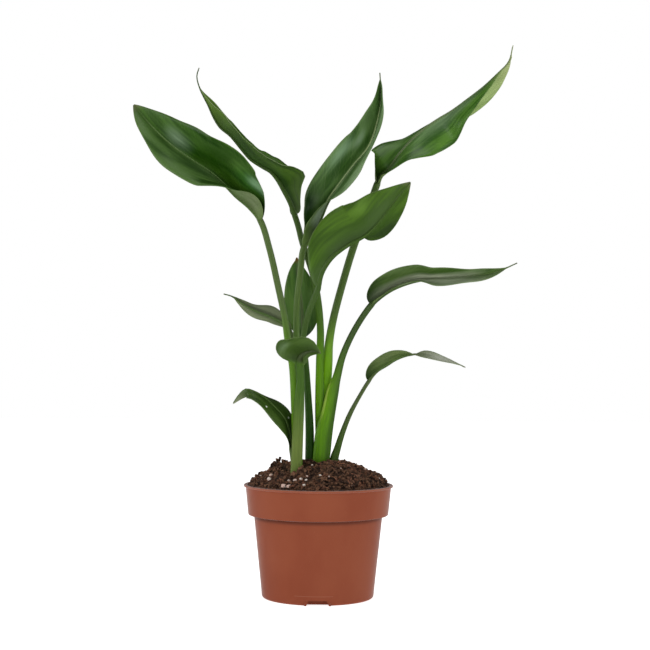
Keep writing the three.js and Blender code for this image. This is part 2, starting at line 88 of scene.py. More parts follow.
class Spline:
    """A smooth line through points, with its knots spaced by the root of the distance between them."""

    def __init__(self, points: Sequence[Vector]) -> None:
        """Keeps the points.

        Args:
            points: The points that the line goes through.
        """
        self.points = list(points)
        self.spans = len(self.points) - 1
        self.lengths: list[float] = []

    def at(self, t: float) -> Vector:
        """Finds a point of the line.

        Args:
            t: Where on the line, from 0 to 1, with every span taking the same share.

        Returns:
            The point.
        """
        place = min(max(t, 0.0), 1.0) * self.spans
        span = min(int(place), self.spans - 1)
        rest = place - span
        start, end = self.points[span], self.points[span + 1]
        before = self.points[span - 1] if span else start * 2 - end
        after = self.points[span + 2] if span + 2 <= self.spans else end * 2 - start
        middle_gap = max((end - start).length ** 0.5, 1e-4)
        first_gap = max((start - before).length ** 0.5, 1e-4)
        last_gap = max((after - end).length ** 0.5, 1e-4)
        leave = (start - before) / first_gap - (end - before) / (first_gap + middle_gap)
        leave = (leave + (end - start) / middle_gap) * middle_gap
        arrive = (end - start) / middle_gap - (after - start) / (middle_gap + last_gap)
        arrive = (arrive + (after - end) / last_gap) * middle_gap
        square = rest * rest
        cube = square * rest
        point = start * (2 * cube - 3 * square + 1) + leave * (cube - 2 * square + rest)
        return point + end * (3 * square - 2 * cube) + arrive * (cube - square)

    def measure(self, divisions: int) -> None:
        """Measures the line, so that shares of its length can be looked up.

        Args:
            divisions: How many short pieces the line is measured in.
        """
        self.lengths = [0.0]
        last = self.at(0)
        for i in range(1, divisions + 1):
            point = self.at(i / divisions)
            self.lengths.append(self.lengths[-1] + (point - last).length)
            last = point

    def place_of(self, share: float) -> float:
        """Finds the t at a share of the measured length.

        Args:
            share: The share of the length, from 0 to 1.

        Returns:
            The t that at() takes.
        """
        target = share * self.lengths[-1]
        low, high = 0, len(self.lengths) - 1
        while high - low > 1:
            middle = (low + high) // 2
            if self.lengths[middle] <= target:
                low = middle
            else:
                high = middle
        gap = self.lengths[high] - self.lengths[low]
        return (low + (target - self.lengths[low]) / gap) / (len(self.lengths) - 1)


@dataclass
class Spot:
    """A place on a leaf's line with the directions there."""

    t: float
    point: Vector
    along: Vector
    up: Vector
    across: Vector


class Course:
    """The line of a leaf from the soil to its tip."""

    DIVISIONS_A_SPAN = 24
    TANGENT_STEP = 1e-4

    def __init__(self, stem: Sequence[Row], rib: Sequence[Row], facing: Facing) -> None:
        """Fits the line, the stem's radius and the folds of the halves.

        Args:
            stem: Rows of x, y, z and radius.
            rib: Rows of x, y, z, left fold and right fold.
            facing: The way that the upper side looks.
        """
        rows = [*stem, *rib]
        self.line = Spline([Vector(row[:3]) for row in rows])
        self.line.measure((len(rows) - 1) * self.DIVISIONS_A_SPAN)
        self.radii = Spline([Vector((row[3], i, 0)) for i, row in enumerate(stem)])
        self.folds = Spline([Vector((row[3], row[4], 0)) for row in rib])
        self.facing = facing.value
        self.stem_spans = len(stem)
        self.spans = len(rows) - 1
        self.length = self.line.lengths[-1]
        self.blade_start = self.line.lengths[len(stem) * self.DIVISIONS_A_SPAN] / self.length
        self.foot_radius = stem[-1][3]

    def spot(self, share: float) -> Spot:
        """Finds the place at a share of the line.

        Args:
            share: 0 at the soil end of the stem, 1 at the tip.

        Returns:
            The place with its directions.
        """
        t = self.line.place_of(share)
        ahead = self.line.at(min(t + self.TANGENT_STEP, 1))
        along = (ahead - self.line.at(max(t - self.TANGENT_STEP, 0))).normalized()
        up = (self.facing - along * self.facing.dot(along)).normalized()
        return Spot(t * self.spans, self.line.at(t), along, up, along.cross(up))

    def stem_radius(self, t: float) -> float:
        """Returns the stem's radius at the row place t."""
        return self.radii.at(min(t / (self.stem_spans - 1), 1)).x

    def folds_at(self, t: float) -> tuple[float, float]:
        """Returns the left and the right fold, in degrees, at the row place t."""
        pair = self.folds.at(max(0, t - self.stem_spans) / (self.spans - self.stem_spans))
        return pair.x, pair.y


class ShaderTree:
    """Short calls that add and join shader nodes."""

    def __init__(self, tree: bpy.types.NodeTree) -> None:
        """Keeps the tree that the nodes go into."""
        self.tree = tree

    def node(self, kind: str, **settings: object) -> bpy.types.Node:
        """Adds a node and sets its properties.

        Args:
            kind: The node's type.
            settings: Its properties by name.

        Returns:
            The node.
        """
        made = self.tree.nodes.new(kind)
        for name, value in settings.items():
            setattr(made, name, value)
        return made

    def feed(self, socket: bpy.types.NodeSocket, source: object) -> None:
        """Gives an input its source.

        Args:
            socket: The input.
            source: Another node's output, a tone or a plain value.
        """
        if isinstance(source, bpy.types.NodeSocket):
            self.tree.links.new(source, socket)
        elif isinstance(source, Tone):
            socket.default_value = source.linear()
        else:
            socket.default_value = source

    def attribute(self, name: str) -> bpy.types.NodeSocket:
        """Returns a number that the mesh keeps at its points."""
        return self.node("ShaderNodeAttribute", attribute_name=name).outputs["Fac"]

    def math(self, operation: str, first: object, second: object = 0.0) -> bpy.types.NodeSocket:
        """Works one sum on two numbers.

        Args:
            operation: The sum's name.
            first: The first number.
            second: The second number.

        Returns:
            The socket that holds the result.
        """
        made = self.node("ShaderNodeMath", operation=operation)
        self.feed(made.inputs[0], first)
        self.feed(made.inputs[1], second)
        return made.outputs[0]

    def times(self, first: object, second: object) -> bpy.types.NodeSocket:
        """Returns the product of two numbers."""
        return self.math("MULTIPLY", first, second)

    def plus(self, first: object, second: object) -> bpy.types.NodeSocket:
        """Returns the sum of two numbers."""
        return self.math("ADD", first, second)

    def off(self, value: object, middle: object) -> bpy.types.NodeSocket:
        """Returns how far a number is from a middle."""
        return self.math("ABSOLUTE", self.math("SUBTRACT", value, middle))

    def vector(self, *sources: object) -> bpy.types.NodeSocket:
        """Joins up to three numbers in a vector.

        Args:
            sources: The numbers for X, Y and Z.

        Returns:
            The socket that holds the result.
        """
        made = self.node("ShaderNodeCombineXYZ")
        for socket, source in zip(made.inputs, sources):
            self.feed(socket, source)
        return made.outputs[0]

    def mix(self, share: object, first: object, second: object) -> bpy.types.NodeSocket:
        """Mixes two colours.

        Args:
            share: The share of the second.
            first: One colour.
            second: The other.

        Returns:
            The socket that holds the result.
        """
        made = self.node("ShaderNodeMix", data_type="RGBA")
        self.feed(made.inputs[0], share)
        self.feed(made.inputs[6], first)
        self.feed(made.inputs[7], second)
        return made.outputs[2]

    def blend(self, share: object, first: object, second: object) -> bpy.types.NodeSocket:
        """Mixes two numbers.

        Args:
            share: The share of the second.
            first: One number.
            second: The other.

        Returns:
            The socket that holds the result.
        """
        made = self.node("ShaderNodeMix", data_type="FLOAT")
        self.feed(made.inputs[0], share)
        self.feed(made.inputs[2], first)
        self.feed(made.inputs[3], second)
        return made.outputs[0]

    def ease(self, value: object, low: float, high: float) -> bpy.types.NodeSocket:
        """Turns a number into a share that rises smoothly from 0 to 1.

        Args:
            value: The number.
            low: Where the share is 0.
            high: Where the share is 1.

        Returns:
            The socket that holds the result.
        """
        made = self.node("ShaderNodeMapRange", interpolation_type="SMOOTHSTEP")
        self.feed(made.inputs["Value"], value)
        made.inputs["From Min"].default_value = low
        made.inputs["From Max"].default_value = high
        return made.outputs["Result"]

    def clouds(self, vector: object, scale: float, detail: float = 2.0) -> bpy.types.NodeSocket:
        """Makes soft noise from 0 to 1.

        Args:
            vector: The place.
            scale: How many clouds a unit holds.
            detail: How fine it goes.

        Returns:
            The socket that holds the result.
        """
        made = self.node("ShaderNodeTexNoise")
        self.feed(made.inputs["Vector"], vector)
        made.inputs["Scale"].default_value = scale
        made.inputs["Detail"].default_value = detail
        return made.outputs["Fac"]

    def place(self, vector: object, scale: tuple[float, float, float]) -> bpy.types.NodeSocket:
        """Stretches coordinates along each axis.

        Args:
            vector: The coordinates.
            scale: The stretch for X, Y and Z.

        Returns:
            The socket that holds the result.
        """
        made = self.node("ShaderNodeMapping")
        self.feed(made.inputs["Vector"], vector)
        made.inputs["Scale"].default_value = scale
        return made.outputs["Vector"]

    def object_place(self) -> bpy.types.NodeSocket:
        """Returns the place on the object, in metres."""
        return self.node("ShaderNodeTexCoord").outputs["Object"]

    def call(self, group: bpy.types.NodeTree, **values: object) -> bpy.types.Node:
        """Places a node group and feeds its inputs.

        Args:
            group: The group.
            values: Its inputs by name, in lower case.

        Returns:
            The group's node.
        """
        made = self.node("ShaderNodeGroup")
        made.node_tree = group
        for name, value in values.items():
            self.feed(made.inputs[name.replace("_", " ").capitalize()], value)
        return made


class EffectGroups:
    """The shader node groups that several finishes share, with lengths in millimetres."""

    VEINS_A_MM = 2.6
    VEIN_DRIFT = 9.0
    VEIN_RELIEF = 0.08
    WIDE_STREAKS = 0.68

    def __init__(self) -> None:
        """Builds every group once."""
        self.side_veins = self._side_veins()
        self.streaks = self._streaks()
        self.stalk_grain = self._stalk_grain()

    @staticmethod
    def _new(name: str, inputs: Sequence[str], outputs: Sequence[str]) -> tuple:
        """Makes an empty group whose sockets are numbers.

        Args:
            name: The group's name.
            inputs: The names of its inputs.
            outputs: The names of its outputs.

        Returns:
            The group, its tree helper, its inputs' sockets and its outputs' sockets.
        """
        group = bpy.data.node_groups.new(name, "ShaderNodeTree")
        for way, labels in (("INPUT", inputs), ("OUTPUT", outputs)):
            for label in labels:
                group.interface.new_socket(label, in_out=way, socket_type="NodeSocketFloat")
        tree = ShaderTree(group)
        return group, tree, tree.node("NodeGroupInput").outputs, tree.node("NodeGroupOutput").inputs

    def _side_veins(self) -> bpy.types.NodeTree:
        """Builds the close veins that run slantwise from the rib to the margin.

        Returns:
            The group.
        """
        group, tree, source, result = self._new(
            "side_veins", ("Distance", "Along", "Slant"), ("Lines", "Height")
        )
        run = tree.math("SUBTRACT", source["Along"], tree.times(source["Distance"], source["Slant"]))
        wander = tree.vector(tree.times(run, 0.35), tree.times(source["Distance"], 0.05))
        drift = tree.clouds(wander, 1.0, 3.0)
        phase = tree.plus(tree.times(run, self.VEINS_A_MM), tree.times(drift, self.VEIN_DRIFT))
        wave = tree.math("SINE", phase)
        lines = tree.times(tree.ease(wave, 0.0, 1.0), tree.ease(drift, 0.35, 0.65))
        tree.feed(result["Lines"], lines)
        tree.feed(result["Height"], tree.plus(tree.times(wave, self.VEIN_RELIEF), drift))
        return group

    def _streaks(self) -> bpy.types.NodeTree:
        """Builds the soft lengthwise streaks of a blade.

        Returns:
            The group.
        """
        group, tree, source, result = self._new("streaks", ("Across", "Along"), ("Share", "Swell"))
        across, along = source["Across"], source["Along"]
        wide = tree.clouds(tree.vector(tree.times(across, 0.11), tree.times(along, 0.022)), 1.0, 2.0)
        close = tree.clouds(tree.vector(tree.times(across, 0.55), tree.times(along, 0.03)), 1.0, 3.0)
        total = tree.plus(tree.times(wide, self.WIDE_STREAKS), tree.times(close, 1 - self.WIDE_STREAKS))
        tree.feed(result["Share"], tree.ease(total, 0.36, 0.64))
        tree.feed(result["Swell"], wide)
        return group

    def _stalk_grain(self) -> bpy.types.NodeTree:
        """Builds the fine lengthwise streaks of a stalk.

        Returns:
            The group.
        """
        group, tree, source, result = self._new("stalk_grain", ("Across", "Deep", "Along"), ("Share",))
        stretch = {"Across": 1.6, "Deep": 1.6, "Along": 0.02}
        place = tree.vector(*(tree.times(source[label], scale) for label, scale in stretch.items()))
        tree.feed(result["Share"], tree.ease(tree.clouds(place, 2.0, 4.0), 0.3, 0.7))
        return group


def new_material(name: str) -> tuple[bpy.types.Material, ShaderTree, bpy.types.Node]:
    """Makes a material with a plain surface shader.

    Args:
        name: The material's name.

    Returns:
        The material, its tree helper and its surface shader.
    """
    material = bpy.data.materials.new(name)
    material.use_nodes = True
    tree = ShaderTree(material.node_tree)
    shader = material.node_tree.nodes["Principled BSDF"]
    return material, tree, shader


def bump(tree: ShaderTree, shader: bpy.types.Node, height: object, depth: float, strength: float) -> None:
    """Gives a surface fine relief.

    Args:
        tree: The material's tree.
        shader: Its surface shader.
        height: The relief's height, 0 to 1.
        depth: How far a height of 1 stands out, in metres.
        strength: How much of the relief shows.
    """
    made = tree.node("ShaderNodeBump")
    tree.feed(made.inputs["Height"], height)
    made.inputs["Distance"].default_value = depth
    made.inputs["Strength"].default_value = strength
    tree.feed(shader.inputs["Normal"], made.outputs["Normal"])


@dataclass(frozen=True)
class Patch:
    """A soft patch of another tone, which paints highlights and shade on a leaf along with some of its own
    colour: its middle up a leaf and, in millimetres, across it, and its reach.
    """

    rise: float
    reach: float
    across: float
    spread: float
    strength: float
    tone: Tone = Tone(150, 172, 148)

    def share(self, tree: ShaderTree, across: object, rise: object, streak: object) -> object:
        """Finds how much of the patch shows.

        Args:
            tree: The material's tree.
            across: The signed distance from the middle, in millimetres.
            rise: How far up the stalk or the blade, as a share.
            streak: The share of the light tone, which breaks the patch up.

        Returns:
            The share.
        """
        up = tree.ease(tree.off(rise, self.rise), self.reach, 0.0)
        aside = tree.ease(tree.off(across, self.across), self.spread, 0.0)
        broken = tree.plus(0.5, tree.times(streak, 0.5))
        return tree.times(tree.times(tree.times(up, aside), broken), self.strength)


@dataclass(frozen=True)
class LeafFinish:
    """The colours and gloss of one leaf, with light and shade painted on as sheens and patches."""

    name: str
    upper_deep: Tone
    upper_light: Tone
    under_deep: Tone
    under_light: Tone
    stalk_foot: Tone
    stalk_top: Tone
    stripe: Tone = Tone(36, 66, 12)
    stripe_share: float = 0.4
    stalk_shade: float = 0.0
    turn: tuple[float, float] = (0.3, 0.85)
    # The underside's tone along the rib: painted shade.
    under_rib_shade: Tone = Tone(40, 70, 14)
    rib_upper: Tone = Tone(116, 146, 76)
    keel: Tone = Tone(80, 104, 50)
    margin: Tone = Tone(112, 134, 78)
    # The darker foot of the upper side: partly painted shade in the fold there, partly the leaf's own colour.
    base: Tone = Tone(18, 46, 2)
    tip: Tone = Tone(98, 106, 66)
    tip_from: float = 0.93
    rib_share: float = 0.75
    rib_width: float = 0.8
    margin_share: float = 0.5
    upper_roughness: float = 0.3
    under_roughness: float = 0.45
    vein_share: float = 0.12
    slant: float = 1.6
    sheen: Tone = Tone(104, 130, 86)
    left_sheen: float = 0.0
    right_sheen: float = 0.0
    tip_sheen: float = 0.0
    base_to: float = 0.2
    patches: Sequence[Patch] = ()
    stalk_patches: Sequence[Patch] = ()
    specks: float = 0.0
    speck: Tone = Tone(226, 232, 222)
    base_share: float = 0.8
    specular: float = 0.3
    stalk_roughness: float = 0.4
    swell_relief: float = 6.0
    relief_depth: float = 0.00012
    relief_share: float = 0.8

    def _upper(
        self, tree: ShaderTree, streak: object, lines: object, distance: object, rise: object
    ) -> object:
        """Mixes the colour of the upper side.

        Args:
            tree: The material's tree.
            streak: The share of the light tone.
            lines: The share of the vein lines.
            distance: The distance from the rib, in millimetres.
            rise: The share of the blade's length.

        Returns:
            The colour.
        """
        colour = tree.mix(streak, self.upper_deep, self.upper_light)
        colour = tree.mix(tree.times(lines, self.vein_share), colour, self.rib_upper)
        line = tree.times(tree.ease(distance, self.rib_width, self.rib_width * 0.3), self.rib_share)
        return tree.mix(tree.times(line, tree.ease(rise, 1.0, 0.7)), colour, self.rib_upper)

    def _under(self, tree: ShaderTree, streak: object, lines: object, out: object, rise: object) -> object:
        """Mixes the colour of the underside.

        Args:
            tree: The material's tree.
            streak: The share of the light tone.
            lines: The share of the vein lines.
            out: The share of the way from the rib to the margin.
            rise: The share of the blade's length.

        Returns:
            The colour.
        """
        colour = tree.mix(streak, self.under_deep, self.under_light)
        colour = tree.mix(tree.times(lines, self.vein_share), colour, self.keel)
        # Painted shade on the underside along the rib.
        colour = tree.mix(tree.ease(out, 0.05, 0.6), self.under_rib_shade, colour)
        return tree.mix(tree.ease(rise, 0.0, 0.1), self.stalk_top, colour)

    def _stalk(self, tree: ShaderTree, grain: object, across: object, rise: object) -> object:
        """Mixes the colour of the stalk and the keel.

        Args:
            tree: The material's tree.
            grain: The share of the dark streaks.
            across: The distance from the stalk's middle, in millimetres.
            rise: 0 at the soil, 1 where the blade starts and 2 at the tip.

        Returns:
            The colour.
        """
        colour = tree.mix(tree.ease(rise, *self.turn), self.stalk_foot, self.stalk_top)
        shade = tree.times(tree.ease(across, 0.5, 4.5), self.stalk_shade)
        colour = tree.mix(shade, colour, self.stripe)
        for patch in self.stalk_patches:
            colour = tree.mix(patch.share(tree, across, rise, 1.0), colour, patch.tone)
        colour = tree.mix(tree.ease(rise, 1.0, 1.2), colour, self.keel)
        return tree.mix(tree.times(grain, self.stripe_share), colour, self.stripe)

    def build(self, groups: EffectGroups) -> bpy.types.Material:
        """Builds the leaf's material.

        Args:
            groups: The shared shader groups.

        Returns:
            The material.
        """
        material, tree, shader = new_material(self.name)
        side, out = tree.attribute("leaf_side"), tree.attribute("leaf_out")
        stalk, rise = tree.attribute("leaf_stalk"), tree.attribute("leaf_rise")
        across, along = tree.attribute("leaf_across"), tree.attribute("leaf_along")
        distance = tree.math("ABSOLUTE", across)
        streaks = tree.call(groups.streaks, across=across, along=along)
        streak = streaks.outputs["Share"]
        veins = tree.call(groups.side_veins, distance=distance, along=along, slant=self.slant)
        lines = veins.outputs["Lines"]
        upper = self._upper(tree, streak, lines, distance, rise)
        blade = tree.mix(side, self._under(tree, streak, lines, out, rise), upper)
        half = tree.blend(tree.ease(across, -0.6, 0.6), self.left_sheen, self.right_sheen)
        patch = tree.plus(0.25, tree.ease(streaks.outputs["Swell"], 0.38, 0.62))
        half = tree.times(tree.times(half, patch), tree.ease(rise, 0.08, 0.3))
        blade = tree.mix(half, blade, self.sheen)
        blade = tree.mix(tree.times(tree.ease(rise, 0.45, 1.0), self.tip_sheen), blade, self.sheen)
        # Darkens the foot of the upper side: partly painted shade, partly the leaf's own colour.
        depth = tree.times(tree.ease(rise, self.base_to, 0.02), tree.times(side, self.base_share))
        blade = tree.mix(depth, blade, self.base)
        for patch in self.patches:
            blade = tree.mix(patch.share(tree, across, rise, streak), blade, patch.tone)
        margin = tree.times(tree.ease(tree.attribute("leaf_edge"), 0.75, 0.2), self.margin_share)
        blade = tree.mix(margin, blade, self.margin)
        blade = tree.mix(tree.ease(rise, self.tip_from, 1.0), blade, self.tip)
        if self.specks:
            blade = tree.mix(self._specks(tree), blade, self.speck)
        grain = tree.call(groups.stalk_grain, across=across, deep=out, along=along).outputs["Share"]
        tree.feed(shader.inputs["Base Color"], tree.mix(stalk, blade, self._stalk(tree, grain, across, rise)))
        shader.inputs["Specular IOR Level"].default_value = self.specular
        gloss = tree.blend(side, self.under_roughness, self.upper_roughness)
        gloss = tree.plus(gloss, tree.times(streak, 0.1))
        tree.feed(shader.inputs["Roughness"], tree.blend(stalk, gloss, self.stalk_roughness))
        swell = tree.times(streaks.outputs["Swell"], self.swell_relief)
        relief = tree.blend(stalk, tree.plus(veins.outputs["Height"], swell), grain)
        bump(tree, shader, relief, self.relief_depth, self.relief_share)
        return material

    def _specks(self, tree: ShaderTree) -> object:
        """Finds the dried drops on the upper side.

        Args:
            tree: The material's tree.

        Returns:
            Their share.
        """
        cells = tree.node("ShaderNodeTexVoronoi")
        tree.feed(cells.inputs["Vector"], tree.object_place())
        cells.inputs["Scale"].default_value = 240.0
        split = tree.node("ShaderNodeSeparateColor")
        tree.feed(split.inputs[0], cells.outputs["Color"])
        chosen = tree.math("LESS_THAN", split.outputs[0], self.specks)
        dot = tree.math("LESS_THAN", cells.outputs["Distance"], 0.2)
        return tree.times(tree.times(chosen, dot), tree.attribute("leaf_side"))


@dataclass(frozen=True)
class SoilFinish:
    """The colours of the potting soil."""

    name: str = "potting_soil"
    deep: Tone = Tone(42, 26, 18)
    brown: Tone = Tone(104, 74, 54)
    red: Tone = Tone(140, 92, 68)
    lumps_a_metre: float = 420.0
    dust_a_metre: float = 1500.0
    red_share: float = 0.6
    dust_share: float = 0.35
    roughness: float = 0.88
    relief: float = 0.0005

    def build(self) -> bpy.types.Material:
        """Builds the soil's material.

        Returns:
            The material.
        """
        material, tree, shader = new_material(self.name)
        place = tree.object_place()
        lumps = tree.node("ShaderNodeTexVoronoi")
        tree.feed(lumps.inputs["Vector"], place)
        lumps.inputs["Scale"].default_value = self.lumps_a_metre
        split = tree.node("ShaderNodeSeparateColor")
        tree.feed(split.inputs[0], lumps.outputs["Color"])
        dust = tree.clouds(place, self.dust_a_metre, 4.0)
        colour = tree.mix(tree.ease(split.outputs[0], 0.15, 0.95), self.deep, self.brown)
        red = tree.times(tree.ease(split.outputs[1], 0.7, 1.0), self.red_share)
        colour = tree.mix(red, colour, self.red)
        colour = tree.mix(tree.times(dust, self.dust_share), colour, self.deep)
        tree.feed(shader.inputs["Base Color"], colour)
        shader.inputs["Roughness"].default_value = self.roughness
        shader.inputs["Specular IOR Level"].default_value = 0.3
        bump(tree, shader, dust, self.relief, 1.0)
        return material


@dataclass(frozen=True)
class GritFinish:
    """The look of loose bits in the soil: perlite or fibres."""

    name: str
    pale: Tone
    stained: Tone
    roughness: float = 0.8
    stains_a_metre: float = 160.0
    pits_a_metre: float = 2200.0
    relief: float = 0.0003

    def build(self) -> bpy.types.Material:
        """Builds the material of the bits.

        Returns:
            The material.
        """
        material, tree, shader = new_material(self.name)
        place = tree.object_place()
        stain = tree.ease(tree.clouds(place, self.stains_a_metre, 3.0), 0.4, 0.62)
        tree.feed(shader.inputs["Base Color"], tree.mix(stain, self.pale, self.stained))
        shader.inputs["Roughness"].default_value = self.roughness
        bump(tree, shader, tree.clouds(place, self.pits_a_metre, 3.0), self.relief, 0.7)
        return material


@dataclass(frozen=True)
class PotFinish:
    """Satin moulded plastic, with shade painted under the band, a highlight painted on the lip's top and a
    moulded line painted as a highlight, and places in metres.
    """

    name: str = "terracotta_plastic"
    body: Tone = Tone(141, 70, 42)
    deep: Tone = Tone(135, 63, 36)
    # Paler tone of dust specks, which also paints the highlights on the lip's top and along the moulded line.
    dust: Tone = Tone(158, 98, 76)
    shade: Tone = Tone(70, 28, 18)
    speck_share: float = 0.35
    rim_z: float = 0.0886
    rim_highlight_share: float = 0.55
    band_z: float = 0.0658
    shade_reach: float = 0.0042
    shade_share: float = 0.62
    line_z: float = 0.0074
    line_x: tuple[float, float] = (-0.0185, 0.0125)
    line_highlight_share: float = 0.5
    roughness: float = 0.42
    sheen: float = 0.55

    def _line_highlight(self, tree: ShaderTree, x: object, y: object, z: object) -> object:
        """Finds the share of the painted highlight along the line moulded over the front notch.

        Args:
            tree: The material's tree.
            x: The place to the right, in metres.
            y: The place in depth.
            z: The height.

        Returns:
            The share.
        """
        line = tree.times(tree.ease(tree.off(z, self.line_z), 0.0004, 0.0001), tree.ease(y, -0.03, -0.035))
        for edge, fade in zip(self.line_x, (0.001, -0.001)):
            line = tree.times(line, tree.ease(x, edge, edge + fade))
        return tree.times(line, self.line_highlight_share)

    def build(self) -> bpy.types.Material:
        """Builds the pot's material.

        Returns:
            The material.
        """
        material, tree, shader = new_material(self.name)
        place = tree.object_place()
        flow = tree.clouds(tree.place(place, (1.0, 1.0, 0.6)), 34.0, 3.0)
        colour = tree.mix(tree.ease(flow, 0.3, 0.7), self.deep, self.body)
        specks = tree.ease(tree.clouds(place, 900.0, 4.0), 0.66, 0.8)
        colour = tree.mix(tree.times(specks, self.speck_share), colour, self.dust)
        split = tree.node("ShaderNodeSeparateXYZ")
        tree.feed(split.inputs[0], place)
        x, y, z = split.outputs
        # Painted highlight: the lip's top turns paler.
        rim = tree.times(tree.ease(z, self.rim_z, self.rim_z + 0.0007), self.rim_highlight_share)
        colour = tree.mix(rim, colour, self.dust)
        rise = tree.ease(z, self.band_z - self.shade_reach, self.band_z - 0.0008)
        below = tree.times(rise, tree.ease(z, self.band_z + 0.0008, self.band_z + 0.0001))
        colour = tree.mix(tree.times(below, self.shade_share), colour, self.shade)
        # The pale line over the front notch is a painted highlight along a moulded line that the shape lacks.
        tree.feed(shader.inputs["Base Color"], tree.mix(self._line_highlight(tree, x, y, z), colour, self.dust))
        tree.feed(shader.inputs["Roughness"], tree.plus(self.roughness, tree.times(flow, 0.1)))
        shader.inputs["Specular IOR Level"].default_value = 0.25
        shader.inputs["Sheen Weight"].default_value = self.sheen
        shader.inputs["Sheen Roughness"].default_value = 0.3
        bump(tree, shader, tree.clouds(place, 700.0, 3.0), 0.0002, 0.25)
        return material


@dataclass(frozen=True)
class PlainFinish:
    """An even, pale studio surface."""

    name: str
    tone: Tone
    roughness: float
    glow: float

    def build(self) -> bpy.types.Material:
        """Builds the surface's material.

        Returns:
            The material.
        """
        material, _, shader = new_material(self.name)
        shader.inputs["Base Color"].default_value = self.tone.linear()
        shader.inputs["Roughness"].default_value = self.roughness
        shader.inputs["Specular IOR Level"].default_value = 0.0
        shader.inputs["Emission Color"].default_value = self.tone.linear()
        shader.inputs["Emission Strength"].default_value = self.glow
        return material


def add_object(name: str, data: bpy.types.ID) -> bpy.types.Object:
    """Puts an object with its data into the scene.

    Args:
        name: The object's name.
        data: Its mesh, light or camera.

    Returns:
        The object.
    """
    made = bpy.data.objects.new(name, data)
    bpy.context.scene.collection.objects.link(made)
    return made


def mesh_object(name: str, mesh: bmesh.types.BMesh, closed: bool = True) -> bpy.types.Object:
    """Turns a mesh in the making into an object.

    Args:
        name: The object's name.
        mesh: The mesh, which is used up.
        closed: Whether it is a body, whose faces are made to point outwards.

    Returns:
        The object.
    """
    if closed:
        bmesh.ops.recalc_face_normals(mesh, faces=mesh.faces)
    data = bpy.data.meshes.new(name)
    mesh.to_mesh(data)
    mesh.free()
    return add_object(name, data)


class Piece:
    """A mesh in the making, with the numbers that a leaf's finish reads."""

    LAYERS = (
        "leaf_side", "leaf_out", "leaf_stalk", "leaf_rise", "leaf_across", "leaf_along", "leaf_edge",
    )

    def __init__(self, name: str, with_layers: bool = False) -> None:
        """Starts an empty mesh.

        Args:
            name: The name that the finished object gets.
            with_layers: Whether the points keep the leaf numbers.
        """
        self.name = name
        self.mesh = bmesh.new()
        self.layers = {}
        if with_layers:
            self.layers = {label: self.mesh.verts.layers.float.new(label) for label in self.LAYERS}

    def grid(self, columns: int, rows: int) -> list[bmesh.types.BMVert]:
        """Adds a flat grid from -1 to 1 both ways and returns its points."""
        made = bmesh.ops.create_grid(self.mesh, x_segments=columns, y_segments=rows, size=1.0)
        return made["verts"]

    def write(self, vertex: bmesh.types.BMVert, **values: float) -> None:
        """Keeps numbers at a point, by the end of each layer's name."""
        for label, value in values.items():
            vertex[self.layers["leaf_" + label]] = value

    def close_ends(self, vertices: Iterable[bmesh.types.BMVert]) -> None:
        """Merges a rolled grid's seam and closes its two ends.

        Args:
            vertices: The grid's points.
        """
        kept = list(vertices)
        bmesh.ops.remove_doubles(self.mesh, verts=kept, dist=1e-7)
        rims = [edge for edge in self.mesh.edges if edge.is_boundary]
        bmesh.ops.holes_fill(self.mesh, edges=rims, sides=0)

    def finish(self, material: bpy.types.Material, slot: str, smooth: bool = True) -> bpy.types.Object:
        """Turns the mesh into an object that rides on the part.

        Args:
            material: The surface.
            slot: The record's slot that it belongs to; it is not used.
            smooth: Whether the faces shade smoothly.

        Returns:
            The object.
        """
        for face in self.mesh.faces:
            face.smooth = smooth
        made = mesh_object(self.name, self.mesh)
        made.data.materials.append(material)
        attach(made, BODY)
        log.info("%s: %d faces", self.name, len(made.data.polygons))
        return made


def roll_tube(
    piece: Piece,
    spots: Sequence[Spot],
    radii: Sequence[tuple[float, float]],
    sides: int,
    rises: Sequence[float] = (),
) -> None:
    """Adds a closed tube through a row of places.

    Args:
        piece: The mesh that it goes into.
        spots: The places, in order.
        radii: The radius across and the radius in depth at each place, in millimetres.
        sides: How many sides the tube has.
        rises: How far up the leaf each place is, for a stalk.
    """
    grid = piece.grid(sides, len(spots) - 1)
    last = len(spots) - 1
    for vertex in grid:
        row = round((vertex.co.y + 1) / 2 * last)
        turn = (vertex.co.x + 1) * math.pi
        spot = spots[row]
        wide, deep = radii[row]
        reach = spot.across * (wide * math.cos(turn)) + spot.up * (deep * math.sin(turn))
        vertex.co = (spot.point + reach) * MM
        if piece.layers:
            piece.write(vertex, across=wide * math.cos(turn), out=deep * math.sin(turn), stalk=1.0)
            piece.write(vertex, side=1.0, rise=rises[row], along=row * RING_GAP, edge=FAR_FROM_MARGIN)
    piece.close_ends(grid)


